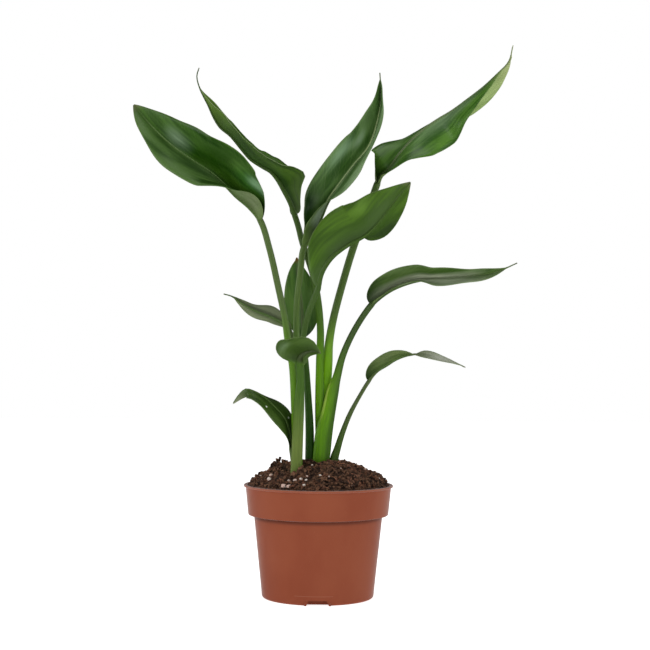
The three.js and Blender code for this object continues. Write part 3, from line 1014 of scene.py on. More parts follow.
@dataclass
class Leaf:
    """One leaf: its stalk, the rib under the blade and the folded blade."""

    name: str
    stem: Sequence[Row]
    rib: Sequence[Row]
    width: float
    peak: float
    rise: float
    whip: float
    waves: float
    facing: Facing
    finish: LeafFinish
    left_share: float = 1.0
    row_gap: float = 2.2
    columns_a_half: int = 9
    sides: int = 18
    thickness: float = 0.5
    margin_thickness: float = 0.28
    bow: float = -14.0
    base_curl: float = 60.0
    curl_end: float = 0.2
    ripple: float = 0.9
    wave_starts: tuple[float, float] = (1.0, 2.6)
    round_radius: float = 2.8
    sheath_flatness: float = 0.3
    rib_foot_share: float = 0.85
    rib_tip_radius: float = 0.45
    rib_taper: float = 1.3
    rib_sink: float = 0.8
    foot_sink: float = 0.3
    sink_rise: float = 8.0
    rib_end: float = 0.985
    blade_from: float = 0.003
    blade_span: float = 0.992
    row_crowding: float = 1.2
    column_crowding: float = 1.3
    course: Course = field(init=False)

    def __post_init__(self) -> None:
        """Fits the leaf's line."""
        self.course = Course(self.stem, self.rib, self.facing)

    def half_width(self, done: float) -> float:
        """Finds how wide a half of the blade is.

        Args:
            done: The share of the blade's length.

        Returns:
            The width, in millimetres.
        """
        share = min(done / (1 - self.whip), 0.999)
        fall = self.rise * (1 - self.peak) / self.peak
        shape = (share / self.peak) ** self.rise * ((1 - share) / (1 - self.peak)) ** fall
        return max(self.width * shape, self.rib_tip_radius)

    def blade_point(
        self, spot: Spot, folds: tuple[float, float], done: float, out: float
    ) -> tuple[Vector, Vector]:
        """Places a point of the blade.

        Args:
            spot: The place on the rib.
            folds: The folds of the left and the right half there.
            done: The share of the blade's length.
            out: -1 at the left margin, 0 at the rib, 1 at the right margin.

        Returns:
            The point and the way that the upper side looks there.
        """
        side = -1 if out < 0 else 1
        reach_share = abs(out)
        curl = self.bow + self.base_curl * max(0.0, 1 - done / self.curl_end) ** 2
        fold = math.radians((folds[0] if side < 0 else folds[1]) + curl * (reach_share - 1))
        sideways = spot.across * side
        reach = self.half_width(done) * reach_share * (self.left_share if side < 0 else 1)
        facing = spot.up * math.cos(fold) - sideways * math.sin(fold)
        wave = math.sin(2 * math.pi * self.waves * done + self.wave_starts[side > 0])
        lift = self.ripple * wave * reach_share**2 * math.sin(math.pi * done)
        point = spot.point + sideways * (reach * math.cos(fold)) + spot.up * (reach * math.sin(fold))
        return point + facing * lift, facing

    def add_blade(self, piece: Piece) -> None:
        """Adds the blade as a thin closed sheet.

        Args:
            piece: The mesh that it goes into.
        """
        share = 1 - self.course.blade_start
        length = self.course.length * share
        rows = round(length / self.row_gap)
        grid = piece.grid(2 * self.columns_a_half, rows)
        faces = list({face for vertex in grid for face in vertex.link_faces})
        made = bmesh.ops.extrude_face_region(piece.mesh, geom=faces, use_keep_orig=True)
        upper = {item for item in made["geom"] if isinstance(item, bmesh.types.BMVert)}
        places: dict[int, tuple[float, Spot, tuple[float, float]]] = {}
        for vertex in [*grid, *upper]:
            row = round((vertex.co.y + 1) / 2 * rows)
            if row not in places:
                done = self.blade_from + self.blade_span * (row / rows) ** self.row_crowding
                spot = self.course.spot(self.course.blade_start + share * done)
                places[row] = (done, spot, self.course.folds_at(spot.t))
            done, spot, folds = places[row]
            flat = vertex.co.x
            out = math.copysign(abs(flat) ** self.column_crowding, flat)
            point, facing = self.blade_point(spot, folds, done, out)
            if abs(flat) < 1e-6:
                other = self.blade_point(spot, folds, done, -1e-9)[1]
                facing = (facing + other).normalized()
            is_upper = vertex in upper
            if not is_upper:
                depth = self.thickness + (self.margin_thickness - self.thickness) * abs(out)
                point = point - facing * depth
            vertex.co = point * MM
            half = self.half_width(done)
            piece.write(vertex, side=1.0 if is_upper else 0.0, out=abs(out), stalk=0.0, rise=done)
            piece.write(vertex, across=out * half, along=done * length, edge=(1 - abs(out)) * half)

    def add_stalk(self, piece: Piece) -> None:
        """Adds the stalk and the rib that it becomes under the blade.

        Args:
            piece: The mesh that it goes into.
        """
        course = self.course
        spots: list[Spot] = []
        radii: list[tuple[float, float]] = []
        rises: list[float] = []
        steps = round(course.length * course.blade_start / RING_GAP)
        for i in range(steps + 1):
            spot = course.spot(course.blade_start * i / steps)
            radius = course.stem_radius(spot.t)
            extra = max(0.0, radius - self.round_radius)
            spots.append(spot)
            radii.append((radius, radius - extra * (1 - self.sheath_flatness)))
            rises.append(i / steps)
        foot = course.foot_radius * self.rib_foot_share
        steps = round(course.length * (1 - course.blade_start) / RING_GAP)
        for i in range(1, steps + 1):
            done = self.rib_end * i / steps
            spot = course.spot(course.blade_start + (1 - course.blade_start) * done)
            radius = self.rib_tip_radius + (foot - self.rib_tip_radius) * (1 - done) ** self.rib_taper
            sink = radius * min(self.rib_sink, self.foot_sink + done * self.sink_rise)
            spot.point = spot.point - spot.up * sink
            spots.append(spot)
            radii.append((radius, radius))
            rises.append(1 + done)
        roll_tube(piece, spots, radii, self.sides, rises)

    def build(self, groups: EffectGroups) -> bpy.types.Object:
        """Builds the leaf in place of its solid.

        Args:
            groups: The shared shader groups.

        Returns:
            The leaf's object.
        """
        piece = Piece(self.name + "_fine", with_layers=True)
        self.add_blade(piece)
        self.add_stalk(piece)
        made = piece.finish(self.finish.build(groups), self.name)
        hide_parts(self.name)
        return made


@dataclass
class SoilMound:
    """The mounded potting soil, filled to the rim."""

    rim_radius: float = 56.4
    rim_z: float = 90.6
    height: float = 18.0
    centre: tuple[float, float] = (2.0, 6.0)
    power: float = 2.4
    lump: float = 0.8
    base_radius: float = 34.5
    base_z: float = 1.7
    step_z: float = 6.5
    wall_foot: float = 43.2
    wall_shoulder: float = 49.8
    shoulder_z: float = 65.0
    band_radius: float = 54.6
    band_z: float = 67.7
    rings: int = 84
    segments: int = 250
    finish: SoilFinish = SoilFinish()

    def surface(self, x: float, y: float) -> float:
        """Finds the height of the smooth surface over a place.

        Args:
            x: The place to the right, in millimetres.
            y: The place in depth.

        Returns:
            The height, in millimetres.
        """
        aside = math.hypot(x - self.centre[0], y - self.centre[1]) / self.rim_radius
        rim = min(1.0, math.hypot(x, y) / self.rim_radius)
        dome = self.height * max(0.0, 1 - max(aside, rim) ** self.power)
        lumps = math.sin(x * 0.31 + 1.3) * math.sin(y * 0.27 + 0.4) + 0.6 * math.sin(x * 0.83 + y * 0.71)
        return self.rim_z + dome + self.lump * lumps * (1 - rim**4)

    @staticmethod
    def crumble(x: float, y: float) -> float:
        """Finds how far the crumbs raise the surface at a place.

        Args:
            x: The place to the right, in millimetres.
            y: The place in depth.

        Returns:
            The rise, in millimetres.
        """
        kinds = ((1.5, 4.2, 3.0), (1.3, 1.9, 11.0), (0.5, 0.9, 23.0))
        return sum(height * noise.noise(Vector((x, y, slice_z)) / size) for height, size, slice_z in kinds)

    def build(self) -> bpy.types.Object:
        """Builds the soil in place of its solid.

        Returns:
            The soil's object.
        """
        piece = Piece("soil_mound")
        mesh = piece.mesh
        side = [
            (0, self.base_z), (self.base_radius, self.base_z), (self.base_radius, self.step_z),
            (self.wall_foot, self.step_z), (self.wall_shoulder, self.shoulder_z),
            (self.band_radius, self.band_z), (self.rim_radius - 0.1, self.rim_z - 1.5),
            (self.rim_radius, self.rim_z),
        ]
        top = [(self.rim_radius * (1 - i / self.rings), self.rim_z) for i in range(1, self.rings + 1)]
        spin_profile(mesh, [*side, *top], self.segments)
        for vertex in mesh.verts:
            x, y, z = vertex.co / MM
            if z > self.rim_z - 0.01:
                rim = math.hypot(x, y) / self.rim_radius
                vertex.co.z = (self.surface(x, y) + self.crumble(x, y) * (1 - rim**6)) * MM
        made = piece.finish(self.finish.build(), "soil")
        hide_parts("soil")
        return made


def spin_profile(mesh: bmesh.types.BMesh, profile: Sequence[tuple[float, float]], segments: int) -> None:
    """Turns a profile about the upright axis into a closed body.

    Args:
        mesh: The mesh that it goes into.
        profile: Rows of radius and height, in millimetres, from the axis to the axis.
        segments: How many steps the full turn takes.
    """
    chain = [mesh.verts.new((radius * MM, 0, z * MM)) for radius, z in profile]
    edges = [mesh.edges.new(pair) for pair in zip(chain, chain[1:])]
    bmesh.ops.spin(
        mesh, geom=[*chain, *edges], cent=(0, 0, 0), axis=(0, 0, 1), angle=2 * math.pi,
        steps=segments, use_merge=True, use_duplicate=False,
    )
    bmesh.ops.remove_doubles(mesh, verts=mesh.verts, dist=1e-6)
    bmesh.ops.dissolve_degenerate(mesh, edges=mesh.edges, dist=1e-7)


@dataclass
class LooseBits:
    """The crumbs, bark, perlite and fibres that lie on the soil."""

    mound: SoilMound
    stalks: Sequence[tuple[float, float, float]]
    crumbs: int = 2600
    chips: int = 260
    fibres: int = 170
    stray_grains: int = 26
    banked: int = 430
    bank_ring: tuple[float, float] = (47.5, 54.4)
    bank_height: float = 2.4
    heap_depth_share: float = 0.6
    heaps: Sequence[tuple[float, float, float, float, int]] = (
        (-32.5, 6.0, 8.0, 8.0, 150), (-13.5, -34.0, 4.5, 7.5, 80), (-19.0, -34.5, 4.0, 4.5, 50),
    )
    reach: float = 55.0
    grain_places: Sequence[tuple[float, float, float]] = (
        (-37.6, -18.5, 2.0), (-38.9, -24.5, 2.1), (-27.0, -44.5, 2.5), (-22.7, -47.5, 2.0),
        (-18.2, -40.0, 1.7), (-11.1, -46.5, 2.1), (-9.7, -40.5, 1.4), (-9.0, -36.2, 1.6),
        (-22.8, -37.4, 1.5), (-13.6, -39.0, 1.4), (-16.6, -26.5, 1.2), (-5.2, -19.5, 1.1),
        (1.2, -37.0, 1.3), (8.2, -37.0, 1.1), (17.3, -22.0, 1.2), (47.7, -12.0, 1.1), (26.0, -43.0, 1.2),
    )
    crumb_sizes: tuple[float, float] = (0.5, 2.3)
    crumb_heights: tuple[float, float] = (0.45, 0.95)
    crumb_rough: float = 0.22
    chip_sizes: tuple[float, float] = (1.2, 2.9)
    chip_heights: tuple[float, float] = (0.25, 0.5)
    bank_sizes: tuple[float, float] = (0.7, 1.8)
    bank_rough: float = 0.25
    grain_rough: float = 0.13
    grain_sizes: tuple[float, float] = (0.7, 1.6)
    fibre_lengths: tuple[float, float] = (4.0, 13.0)
    fibre_radii: tuple[float, float] = (0.14, 0.34)
    fibre_steps: int = 7
    soil: SoilFinish = SoilFinish("soil_crumbs", deep=Tone(48, 31, 22), brown=Tone(132, 96, 72))
    bark: SoilFinish = SoilFinish(
        "bark_chips", deep=Tone(40, 24, 16), brown=Tone(132, 96, 72), red=Tone(124, 70, 46)
    )
    perlite: GritFinish = GritFinish("perlite", Tone(244, 232, 222), Tone(222, 188, 174))
    fibre: GritFinish = GritFinish("coir_fibre", Tone(158, 104, 76), Tone(104, 62, 44), 0.7)

    def _is_free(self, x: float, y: float, room: float) -> bool:
        """Returns whether a place is clear of every stalk."""
        return all(math.hypot(x - sx, y - sy) > radius + room for sx, sy, radius in self.stalks)

    def _place(self, rng: random.Random, room: float) -> tuple[float, float]:
        """Picks a free place on the soil.

        Args:
            rng: The seeded source.
            room: How far it stays from the stalks.

        Returns:
            The x and y of the place.
        """
        while True:
            radius = self.reach * math.sqrt(rng.random())
            angle = rng.uniform(0, 2 * math.pi)
            x, y = radius * math.cos(angle), radius * math.sin(angle)
            if self._is_free(x, y, room):
                return x, y

    def _lump(
        self, piece: Piece, rng: random.Random, centre: Vector, size: Vector, detail: int, rough: float
    ) -> None:
        """Adds one rough lump.

        Args:
            piece: The mesh that it goes into.
            rng: The seeded source.
            centre: Its centre, in millimetres.
            size: Its three radii, in millimetres.
            detail: How finely its ball is divided.
            rough: How far its points stray, as a share of the radius.
        """
        turn = Matrix.Rotation(rng.uniform(0, 6.28), 4, "Z") @ Matrix.Rotation(rng.uniform(-0.7, 0.7), 4, "X")
        stretch = Matrix.Diagonal((*(size * MM), 1.0))
        place = Matrix.Translation(centre * MM) @ turn @ stretch
        made = bmesh.ops.create_icosphere(piece.mesh, subdivisions=detail, radius=1.0, matrix=place)
        middle = centre * MM
        for vertex in made["verts"]:
            vertex.co = middle + (vertex.co - middle) * rng.uniform(1 - rough, 1 + rough)

    def _scatter(
        self, name: str, count: int, sizes: tuple[float, float], flat: tuple[float, float]
    ) -> Piece:
        """Scatters lumps over the soil.

        Args:
            name: The piece's name.
            count: How many lumps.
            sizes: The smallest and the largest radius.
            flat: The least and the greatest share of the radius in height.

        Returns:
            The mesh in the making.
        """
        rng = random.Random(f"{SEED}{name}")
        piece = Piece(name)
        for _ in range(count):
            radius = sizes[0] + (sizes[1] - sizes[0]) * rng.random() ** 2
            x, y = self._place(rng, radius * 0.6)
            size = Vector((radius, radius * rng.uniform(0.5, 0.95), radius * rng.uniform(*flat)))
            lift = self.mound.crumble(x, y) * 0.8 + size.z * rng.uniform(0.1, 0.6)
            self._lump(piece, rng, Vector((x, y, self.mound.surface(x, y) + lift)), size, 1, self.crumb_rough)
        return piece

    def _banks(self) -> Piece:
        """Makes the crumbs banked against the lip and in small heaps.

        Returns:
            The mesh in the making.
        """
        rng = random.Random(SEED + 13)
        piece = Piece("banked_crumbs")
        places = []
        for _ in range(self.banked):
            angle, radius = rng.uniform(0, 2 * math.pi), rng.uniform(*self.bank_ring)
            lift = rng.uniform(0, self.bank_height)
            places.append((radius * math.cos(angle), radius * math.sin(angle), lift))
        for x, y, spread, height, count in self.heaps:
            for _ in range(count):
                angle, share = rng.uniform(0, 2 * math.pi), math.sqrt(rng.random())
                right = spread * share * math.cos(angle)
                back = spread * share * math.sin(angle) * self.heap_depth_share
                places.append((x + right, y + back, height * (1 - share**2) * rng.random()))
        for x, y, lift in places:
            radius = rng.uniform(*self.bank_sizes)
            size = Vector((radius, radius * rng.uniform(0.6, 0.95), radius * rng.uniform(0.6, 0.95)))
            centre = Vector((x, y, self.mound.surface(x, y) + lift + size.z * 0.4))
            self._lump(piece, rng, centre, size, 1, self.bank_rough)
        return piece

    def _grains(self) -> Piece:
        """Makes the perlite grains.

        Returns:
            The mesh in the making.
        """
        rng = random.Random(SEED + 5)
        piece = Piece("perlite_grains")
        places = list(self.grain_places)
        while len(places) < len(self.grain_places) + self.stray_grains:
            x, y = self._place(rng, 1.5)
            if y > -8:
                places.append((x, y, rng.uniform(*self.grain_sizes)))
        for x, y, radius in places:
            size = Vector((radius, radius * rng.uniform(0.6, 0.9), radius * rng.uniform(0.55, 0.8)))
            z = self.mound.surface(x, y) + max(self.mound.crumble(x, y), 0) + size.z * 0.95
            self._lump(piece, rng, Vector((x, y, z)), size, 2, self.grain_rough)
        return piece

    def _fibres(self) -> Piece:
        """Makes the curled fibres.

        Returns:
            The mesh in the making.
        """
        rng = random.Random(SEED + 9)
        piece = Piece("coir_fibres")
        for _ in range(self.fibres):
            x, y = self._place(rng, 1.0)
            length, heading = rng.uniform(*self.fibre_lengths), rng.uniform(0, 6.28)
            bend, radius = rng.uniform(-0.22, 0.22), rng.uniform(*self.fibre_radii)
            lift = rng.uniform(0.2, 1.1)
            step = length / self.fibre_steps
            spots = []
            for i in range(self.fibre_steps + 1):
                heading += bend
                x += math.cos(heading) * step
                y += math.sin(heading) * step
                if math.hypot(x, y) > self.reach + 0.6:
                    break
                arch = 2 * lift * math.sin(math.pi * i / self.fibre_steps)
                z = self.mound.surface(x, y) + arch + 0.5
                along = Vector((math.cos(heading), math.sin(heading), 0))
                up = Vector((0, 0, 1))
                spots.append(Spot(0, Vector((x, y, z)), along, up, along.cross(up)))
            if len(spots) > 3:
                radii = [(radius * (1.15 - 0.5 * i / len(spots)),) * 2 for i in range(len(spots))]
                roll_tube(piece, spots, radii, 5)
        return piece

    def build(self) -> list[bpy.types.Object]:
        """Builds every kind of loose bit.

        Returns:
            Their objects.
        """
        crumbs = self._scatter("soil_crumbs", self.crumbs, self.crumb_sizes, self.crumb_heights)
        made = [crumbs.finish(self.soil.build(), "soil", smooth=False)]
        chips = self._scatter("bark_chips", self.chips, self.chip_sizes, self.chip_heights)
        made.append(chips.finish(self.bark.build(), "soil", smooth=False))
        banked = replace(self.soil, name="banked_crumbs")
        made.append(self._banks().finish(banked.build(), "soil", smooth=False))
        made.append(self._grains().finish(self.perlite.build(), "soil"))
        made.append(self._fibres().finish(self.fibre.build(), "soil"))
        return made


@dataclass
class NurseryPot:
    """The round moulded pot with a deep rim band and foot notches."""

    height: float = 90.0
    lip_radius: float = 60.0
    lip_height: float = 1.6
    band_top: float = 58.3
    band_foot: float = 56.3
    band_z: float = 66.0
    body_top: float = 51.6
    base: float = 44.9
    corner: float = 2.2
    wall: float = 1.3
    segments: int = 180
    notches: int = 3
    notch_foot: float = 18.5
    notch_top: float = 14.0
    notch_height: float = 4.0
    notch_depth: float = 8.0
    drain_radius: float = 3.0
    drain_share: float = 0.58
    drain_reach: float = 12.0
    sharp_angle: float = 28.0
    finish: PotFinish = PotFinish()

    def _shell(self) -> bpy.types.Object:
        """Makes the turned shell.

        Returns:
            The scratch object.
        """
        mesh = bmesh.new()
        base, inner, body, wall = self.base, self.base - self.wall, self.body_top, self.wall
        foot, top, band = self.band_foot, self.band_top, self.band_z
        lip, height, under = self.lip_radius, self.height, self.height - self.lip_height
        profile = [
            (0, 0), (base - self.corner, 0), (base - 1.35, 0.18), (base - 0.66, 0.62), (base - 0.2, 1.32),
            (base, self.corner), (base + 0.55, 8.0),
            (body - 0.05, band - 0.5), (body + 0.35, band - 0.15), (body + 0.9, band), (foot - 1.0, band),
            (foot - 0.45, band + 0.15), (foot - 0.12, band + 0.5), (foot, band + 1.2), (top, under - 0.9),
            (top + 0.1, under - 0.45), (top + 0.45, under - 0.1), (lip - 0.6, under),
            (lip - 0.15, under + 0.25), (lip, height - self.lip_height / 2), (lip - 0.12, height - 0.3),
            (lip - 0.5, height - 0.04), (lip - 0.9, height), (lip - 2.2, height), (lip - 2.8, height - 0.25),
            (top - wall, height - 1.2), (foot - wall, band + wall), (body - wall, band - wall),
            (inner, self.corner + wall), (inner - 1, wall), (0, wall),
        ]
        spin_profile(mesh, profile, self.segments)
        return mesh_object("pot_shell", mesh)

    def _turn(self, number: int) -> Matrix:
        """Returns the turn about the pot's axis that leads to a notch."""
        return Matrix.Rotation(number / self.notches * 2 * math.pi, 4, "Z")

    def _blocks(self, name: str, spare: float, reach: float, floor: float) -> bpy.types.Object:
        """Makes the tapered blocks of the foot notches.

        Args:
            name: The scratch object's name.
            spare: How far every side stands out from the notch itself.
            reach: The radius that the blocks end at.
            floor: The height that the blocks start at.

        Returns:
            The scratch object.
        """
        mesh = bmesh.new()
        inner = self.base - self.notch_depth - spare
        for i in range(self.notches):
            made = bmesh.ops.create_cube(mesh, size=1.0)
            turn = self._turn(i)
            for vertex in made["verts"]:
                is_top = vertex.co.z > 0
                width = (self.notch_top if is_top else self.notch_foot) + 2 * spare
                height = self.notch_height + spare if is_top else floor
                radius = inner if vertex.co.y > 0 else reach
                vertex.co = turn @ (Vector((vertex.co.x * width, -radius, height)) * MM)
        return mesh_object(name, mesh)

    def _drains(self) -> bpy.types.Object:
        """Makes the plugs of the drain holes.

        Returns:
            The scratch object.
        """
        mesh = bmesh.new()
        radius = self.base - self.notch_depth * self.drain_share
        for i in range(self.notches):
            turn = self._turn(i)
            place = turn @ Matrix.Translation(Vector((0, -radius, self.notch_height)) * MM)
            bmesh.ops.create_cone(
                mesh, cap_ends=True, segments=24, radius1=self.drain_radius * MM,
                radius2=self.drain_radius * MM, depth=self.drain_reach * MM, matrix=place,
            )
        return mesh_object("pot_drains", mesh)

    @staticmethod
    def _combine(body: bpy.types.Object, tool: bpy.types.Object, operation: str) -> None:
        """Joins a scratch tool to a body or cuts it out, and removes the tool.

        Args:
            body: The object that changes.
            tool: The object that is joined or cut out.
            operation: UNION or DIFFERENCE.
        """
        step = body.modifiers.new("step", "BOOLEAN")
        step.operation = operation
        step.solver = "EXACT"
        step.object = tool
        bpy.context.view_layer.update()
        evaluated = body.evaluated_get(bpy.context.evaluated_depsgraph_get())
        data = bpy.data.meshes.new_from_object(evaluated)
        body.modifiers.clear()
        body.data = data
        bpy.data.objects.remove(tool)

    def build(self) -> bpy.types.Object:
        """Builds the pot in place of its solid.

        Returns:
            The pot's object.
        """
        body = self._shell()
        self._combine(body, self._blocks("pot_housings", self.wall, self.base - 0.6, 0.0), "UNION")
        self._combine(body, self._blocks("pot_notches", 0.0, self.base + 2, -1.0), "DIFFERENCE")
        self._combine(body, self._drains(), "DIFFERENCE")
        piece = Piece("nursery_pot")
        piece.mesh.from_mesh(body.data)
        bpy.data.objects.remove(body)
        made = piece.finish(self.finish.build(), "pot")
        made.data.set_sharp_from_angle(angle=math.radians(self.sharp_angle))
        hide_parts("pot")
        return made


@dataclass
class Studio:
    """The pale floor, the soft lights and the camera at the photo's angle."""

    lens: float = 80.4
    sensor: float = 36.0
    eye: tuple[float, float, float] = (0.0, -1.169, 0.196)
    pitch: float = 0.0189
    roll: float = 0.0074
    yaw: float = 0.0037
    floor_size: float = 6.0
    backdrop: float = 1.0
    sky_light: float = 0.29
    sky_gloss: float = 0.03
    floor: PlainFinish = PlainFinish("studio_floor", Tone(250, 250, 250), 0.9, glow=0.82)
    lights: Sequence[tuple[str, Row, Row, float, float]] = (
        ("key", (-0.9, -1.5, 1.2), (0, 0, 0.28), 1.2, 10.5),
        ("fill", (1.3, -1.4, 0.7), (0, 0, 0.25), 1.0, 4.5),
        ("left_side", (-1.5, 0.5, 0.6), (0, 0, 0.2), 1.1, 7.0),
        ("right_side", (1.5, 0.5, 0.6), (0, 0, 0.2), 1.1, 7.0),
        ("top", (0.1, 0.2, 1.9), (0, 0, 0.25), 1.2, 6.0),
    )

    def _camera(self) -> None:
        """Places the camera as the photo's perspective gives it."""
        cos_yaw, sin_yaw = math.cos(self.yaw), math.sin(self.yaw)
        ahead = Vector((sin_yaw * math.cos(self.pitch), cos_yaw * math.cos(self.pitch), math.sin(self.pitch)))
        level = Vector((cos_yaw, -sin_yaw, 0))
        upright = level.cross(ahead)
        right = level * math.cos(self.roll) + upright * math.sin(self.roll)
        up = upright * math.cos(self.roll) - level * math.sin(self.roll)
        data = bpy.data.cameras.new("camera")
        data.lens, data.sensor_width = self.lens, self.sensor
        made = add_object("camera", data)
        turn = Matrix((right, up, -ahead)).transposed().to_4x4()
        made.matrix_world = Matrix.Translation(self.eye) @ turn
        bpy.context.scene.camera = made

    def _light(self, name: str, place: Row, target: Row, size: float, watts: float) -> None:
        """Adds a soft square light that looks at a target.

        Args:
            name: The light's name.
            place: Where it hangs, in metres.
            target: What it looks at, in metres.
            size: Its side, in metres.
            watts: Its power.
        """
        data = bpy.data.lights.new(name, "AREA")
        data.energy, data.size = watts, size
        made = add_object(name, data)
        made.location = place
        made.rotation_euler = (Vector(target) - Vector(place)).to_track_quat("-Z", "Y").to_euler()

    def build(self) -> None:
        """Builds the studio."""
        self._camera()
        for row in self.lights:
            self._light(*row)
        mesh = bmesh.new()
        bmesh.ops.create_grid(mesh, x_segments=1, y_segments=1, size=self.floor_size / 2)
        ground = mesh_object("studio_floor", mesh, closed=False)
        ground.data.materials.append(self.floor.build())
        ground.visible_glossy = False
        scene = bpy.context.scene
        scene.world = bpy.data.worlds.new("studio")
        scene.world.use_nodes = True
        tree = ShaderTree(scene.world.node_tree)
        sky = scene.world.node_tree.nodes["Background"]
        sky.inputs["Color"].default_value = (1.0, 1.0, 1.0, 1.0)
        path = tree.node("ShaderNodeLightPath")
        unseen = tree.blend(path.outputs["Is Glossy Ray"], self.sky_light, self.sky_gloss)
        tree.feed(sky.inputs["Strength"], tree.blend(path.outputs["Is Camera Ray"], unseen, self.backdrop))
        scene.view_settings.view_transform = "Standard"


# The sheens paint highlights, and the patches and stalk patches paint highlights and shade along with some of
# the leaves' own colour.
GLOSSY = LeafFinish(
    name="leaf",
    upper_deep=Tone(26, 63, 2),
    upper_light=Tone(69, 109, 19),
    under_deep=Tone(80, 98, 50),
    under_light=Tone(113, 129, 81),
    stalk_foot=Tone(97, 143, 28),
    stalk_top=Tone(88, 110, 56),
)
FINISH_UPPER_RIGHT = replace(
    GLOSSY, name="upper_right_leaf", upper_deep=Tone(41, 83, 12), upper_light=Tone(85, 129, 43),
    stalk_foot=Tone(124, 184, 10), stalk_top=Tone(80, 102, 46), stripe=Tone(57, 101, 0),
    under_deep=Tone(107, 132, 65), under_light=Tone(148, 170, 102), under_rib_shade=Tone(96, 127, 63),
    keel=Tone(109, 126, 86), tip=Tone(158, 168, 112), tip_from=0.7,
    left_sheen=0.1, sheen=Tone(112, 138, 94), turn=(0.38, 0.58), base_to=0.12,
    patches=(
        Patch(0.5, 0.35, 4.0, 11.0, 0.5, Tone(140, 160, 134)),
        Patch(0.12, 0.08, 7.0, 6.0, 0.6, Tone(130, 146, 120)),
        Patch(0.36, 0.16, -14.0, 6.0, 0.35),
    ),
)
FINISH_TOP_LEFT = replace(
    GLOSSY, name="top_left_leaf", under_deep=Tone(32, 64, 0), under_light=Tone(64, 100, 8),
    under_rib_shade=Tone(34, 68, 0), stalk_foot=Tone(84, 134, 0), stalk_top=Tone(66, 92, 32),
    keel=Tone(63, 88, 34), margin=Tone(140, 156, 112), margin_share=0.8, under_roughness=0.65,
    tip_sheen=0.9, sheen=Tone(94, 124, 40),
    patches=(Patch(0.12, 0.14, -14.0, 8.0, 0.5, Tone(84, 112, 44)),),
    stalk_patches=(Patch(0.38, 0.24, 1.5, 7.0, 1.1, Tone(112, 172, 0)),),
)
FINISH_MID_RIGHT = replace(
    GLOSSY, name="mid_right_leaf", upper_deep=Tone(41, 72, 10), upper_light=Tone(78, 106, 44),
    stalk_foot=Tone(104, 162, 0), stalk_top=Tone(68, 92, 42), vein_share=0.3,
    right_sheen=0.6, left_sheen=0.1, stalk_shade=0.7, sheen=Tone(112, 124, 96),
    patches=(
        Patch(0.4, 0.45, -3.0, 7.0, 1.2, Tone(206, 214, 186)),
        Patch(0.52, 0.35, 8.0, 9.0, 1.0, Tone(176, 186, 160)),
    ),
    stalk_patches=(
        Patch(0.48, 0.24, -4.0, 6.0, 0.7, Tone(130, 190, 0)),
        Patch(0.5, 0.15, -4.6, 1.8, 1.6, Tone(186, 222, 84)),
    ),
)
FINISH_CENTRE_BACK = replace(
    GLOSSY, name="centre_back_leaf", upper_deep=Tone(52, 88, 28), upper_light=Tone(80, 116, 44),
    stalk_foot=Tone(34, 80, 0), stalk_top=Tone(56, 94, 17), rib_upper=Tone(98, 94, 78),
    rib_width=1.5, tip=Tone(120, 76, 30), tip_from=0.9,
)
FINISH_LOWER_RIGHT = replace(
    GLOSSY, name="lower_right_leaf", upper_deep=Tone(50, 74, 22), upper_light=Tone(84, 106, 48),
    under_deep=Tone(98, 112, 74), under_light=Tone(134, 145, 106), under_rib_shade=Tone(99, 112, 73),
    stalk_foot=Tone(71, 102, 28), stalk_top=Tone(84, 100, 54),
    left_sheen=0.15, right_sheen=0.2, sheen=Tone(120, 124, 98),
    patches=(Patch(0.76, 0.26, 0.0, 16.0, 1.2, Tone(176, 180, 164)),),
)
FINISH_TOP_CENTRE = replace(
    GLOSSY, name="top_centre_leaf", upper_deep=Tone(33, 72, 8), upper_light=Tone(72, 112, 34),
    stalk_foot=Tone(90, 136, 28), stalk_top=Tone(88, 114, 50),
    under_light=Tone(95, 120, 62), under_deep=Tone(69, 96, 38), under_rib_shade=Tone(37, 63, 6),
    right_sheen=0.85, left_sheen=0.25, sheen=Tone(116, 144, 100),
    rib_upper=Tone(186, 204, 148), rib_width=2.1, rib_share=0.95, base_to=0.42,
    patches=(
        Patch(0.5, 0.16, -16.0, 6.0, 0.6, Tone(136, 170, 134)),
        Patch(0.62, 0.1, -10.0, 4.0, 0.4),
        Patch(0.76, 0.12, -10.0, 8.0, 0.6, Tone(50, 78, 34)),
        Patch(0.18, 0.16, -17.0, 13.0, 1.7, Tone(14, 46, 0)),
        Patch(0.17, 0.08, 5.0, 10.0, 0.6),
    ),
)
FINISH_UPPER_LEFT = replace(
    GLOSSY, name="upper_left_leaf", upper_deep=Tone(22, 59, 0), upper_light=Tone(60, 100, 20),
    under_deep=Tone(72, 90, 46), under_light=Tone(102, 116, 78), under_rib_shade=Tone(72, 90, 46),
    left_sheen=0.45, tip_sheen=0.3, sheen=Tone(92, 122, 66), turn=(0.5, 0.72),
    rib_upper=Tone(116, 144, 84), rib_width=1.2,
    patches=(
        Patch(0.42, 0.24, 17.0, 18.0, 0.85, Tone(26, 62, 0)),
        Patch(0.42, 0.3, -7.0, 14.0, 0.35, Tone(98, 126, 84)),
        Patch(0.66, 0.14, 8.0, 10.0, 0.5),
        Patch(0.2, 0.15, 18.0, 9.0, 0.8, Tone(70, 130, 50)),
        Patch(0.16, 0.11, 20.0, 5.0, 1.2, Tone(136, 176, 132)),
        Patch(0.3, 0.08, 21.0, 6.0, 0.5, Tone(84, 124, 44)),
    ),
)
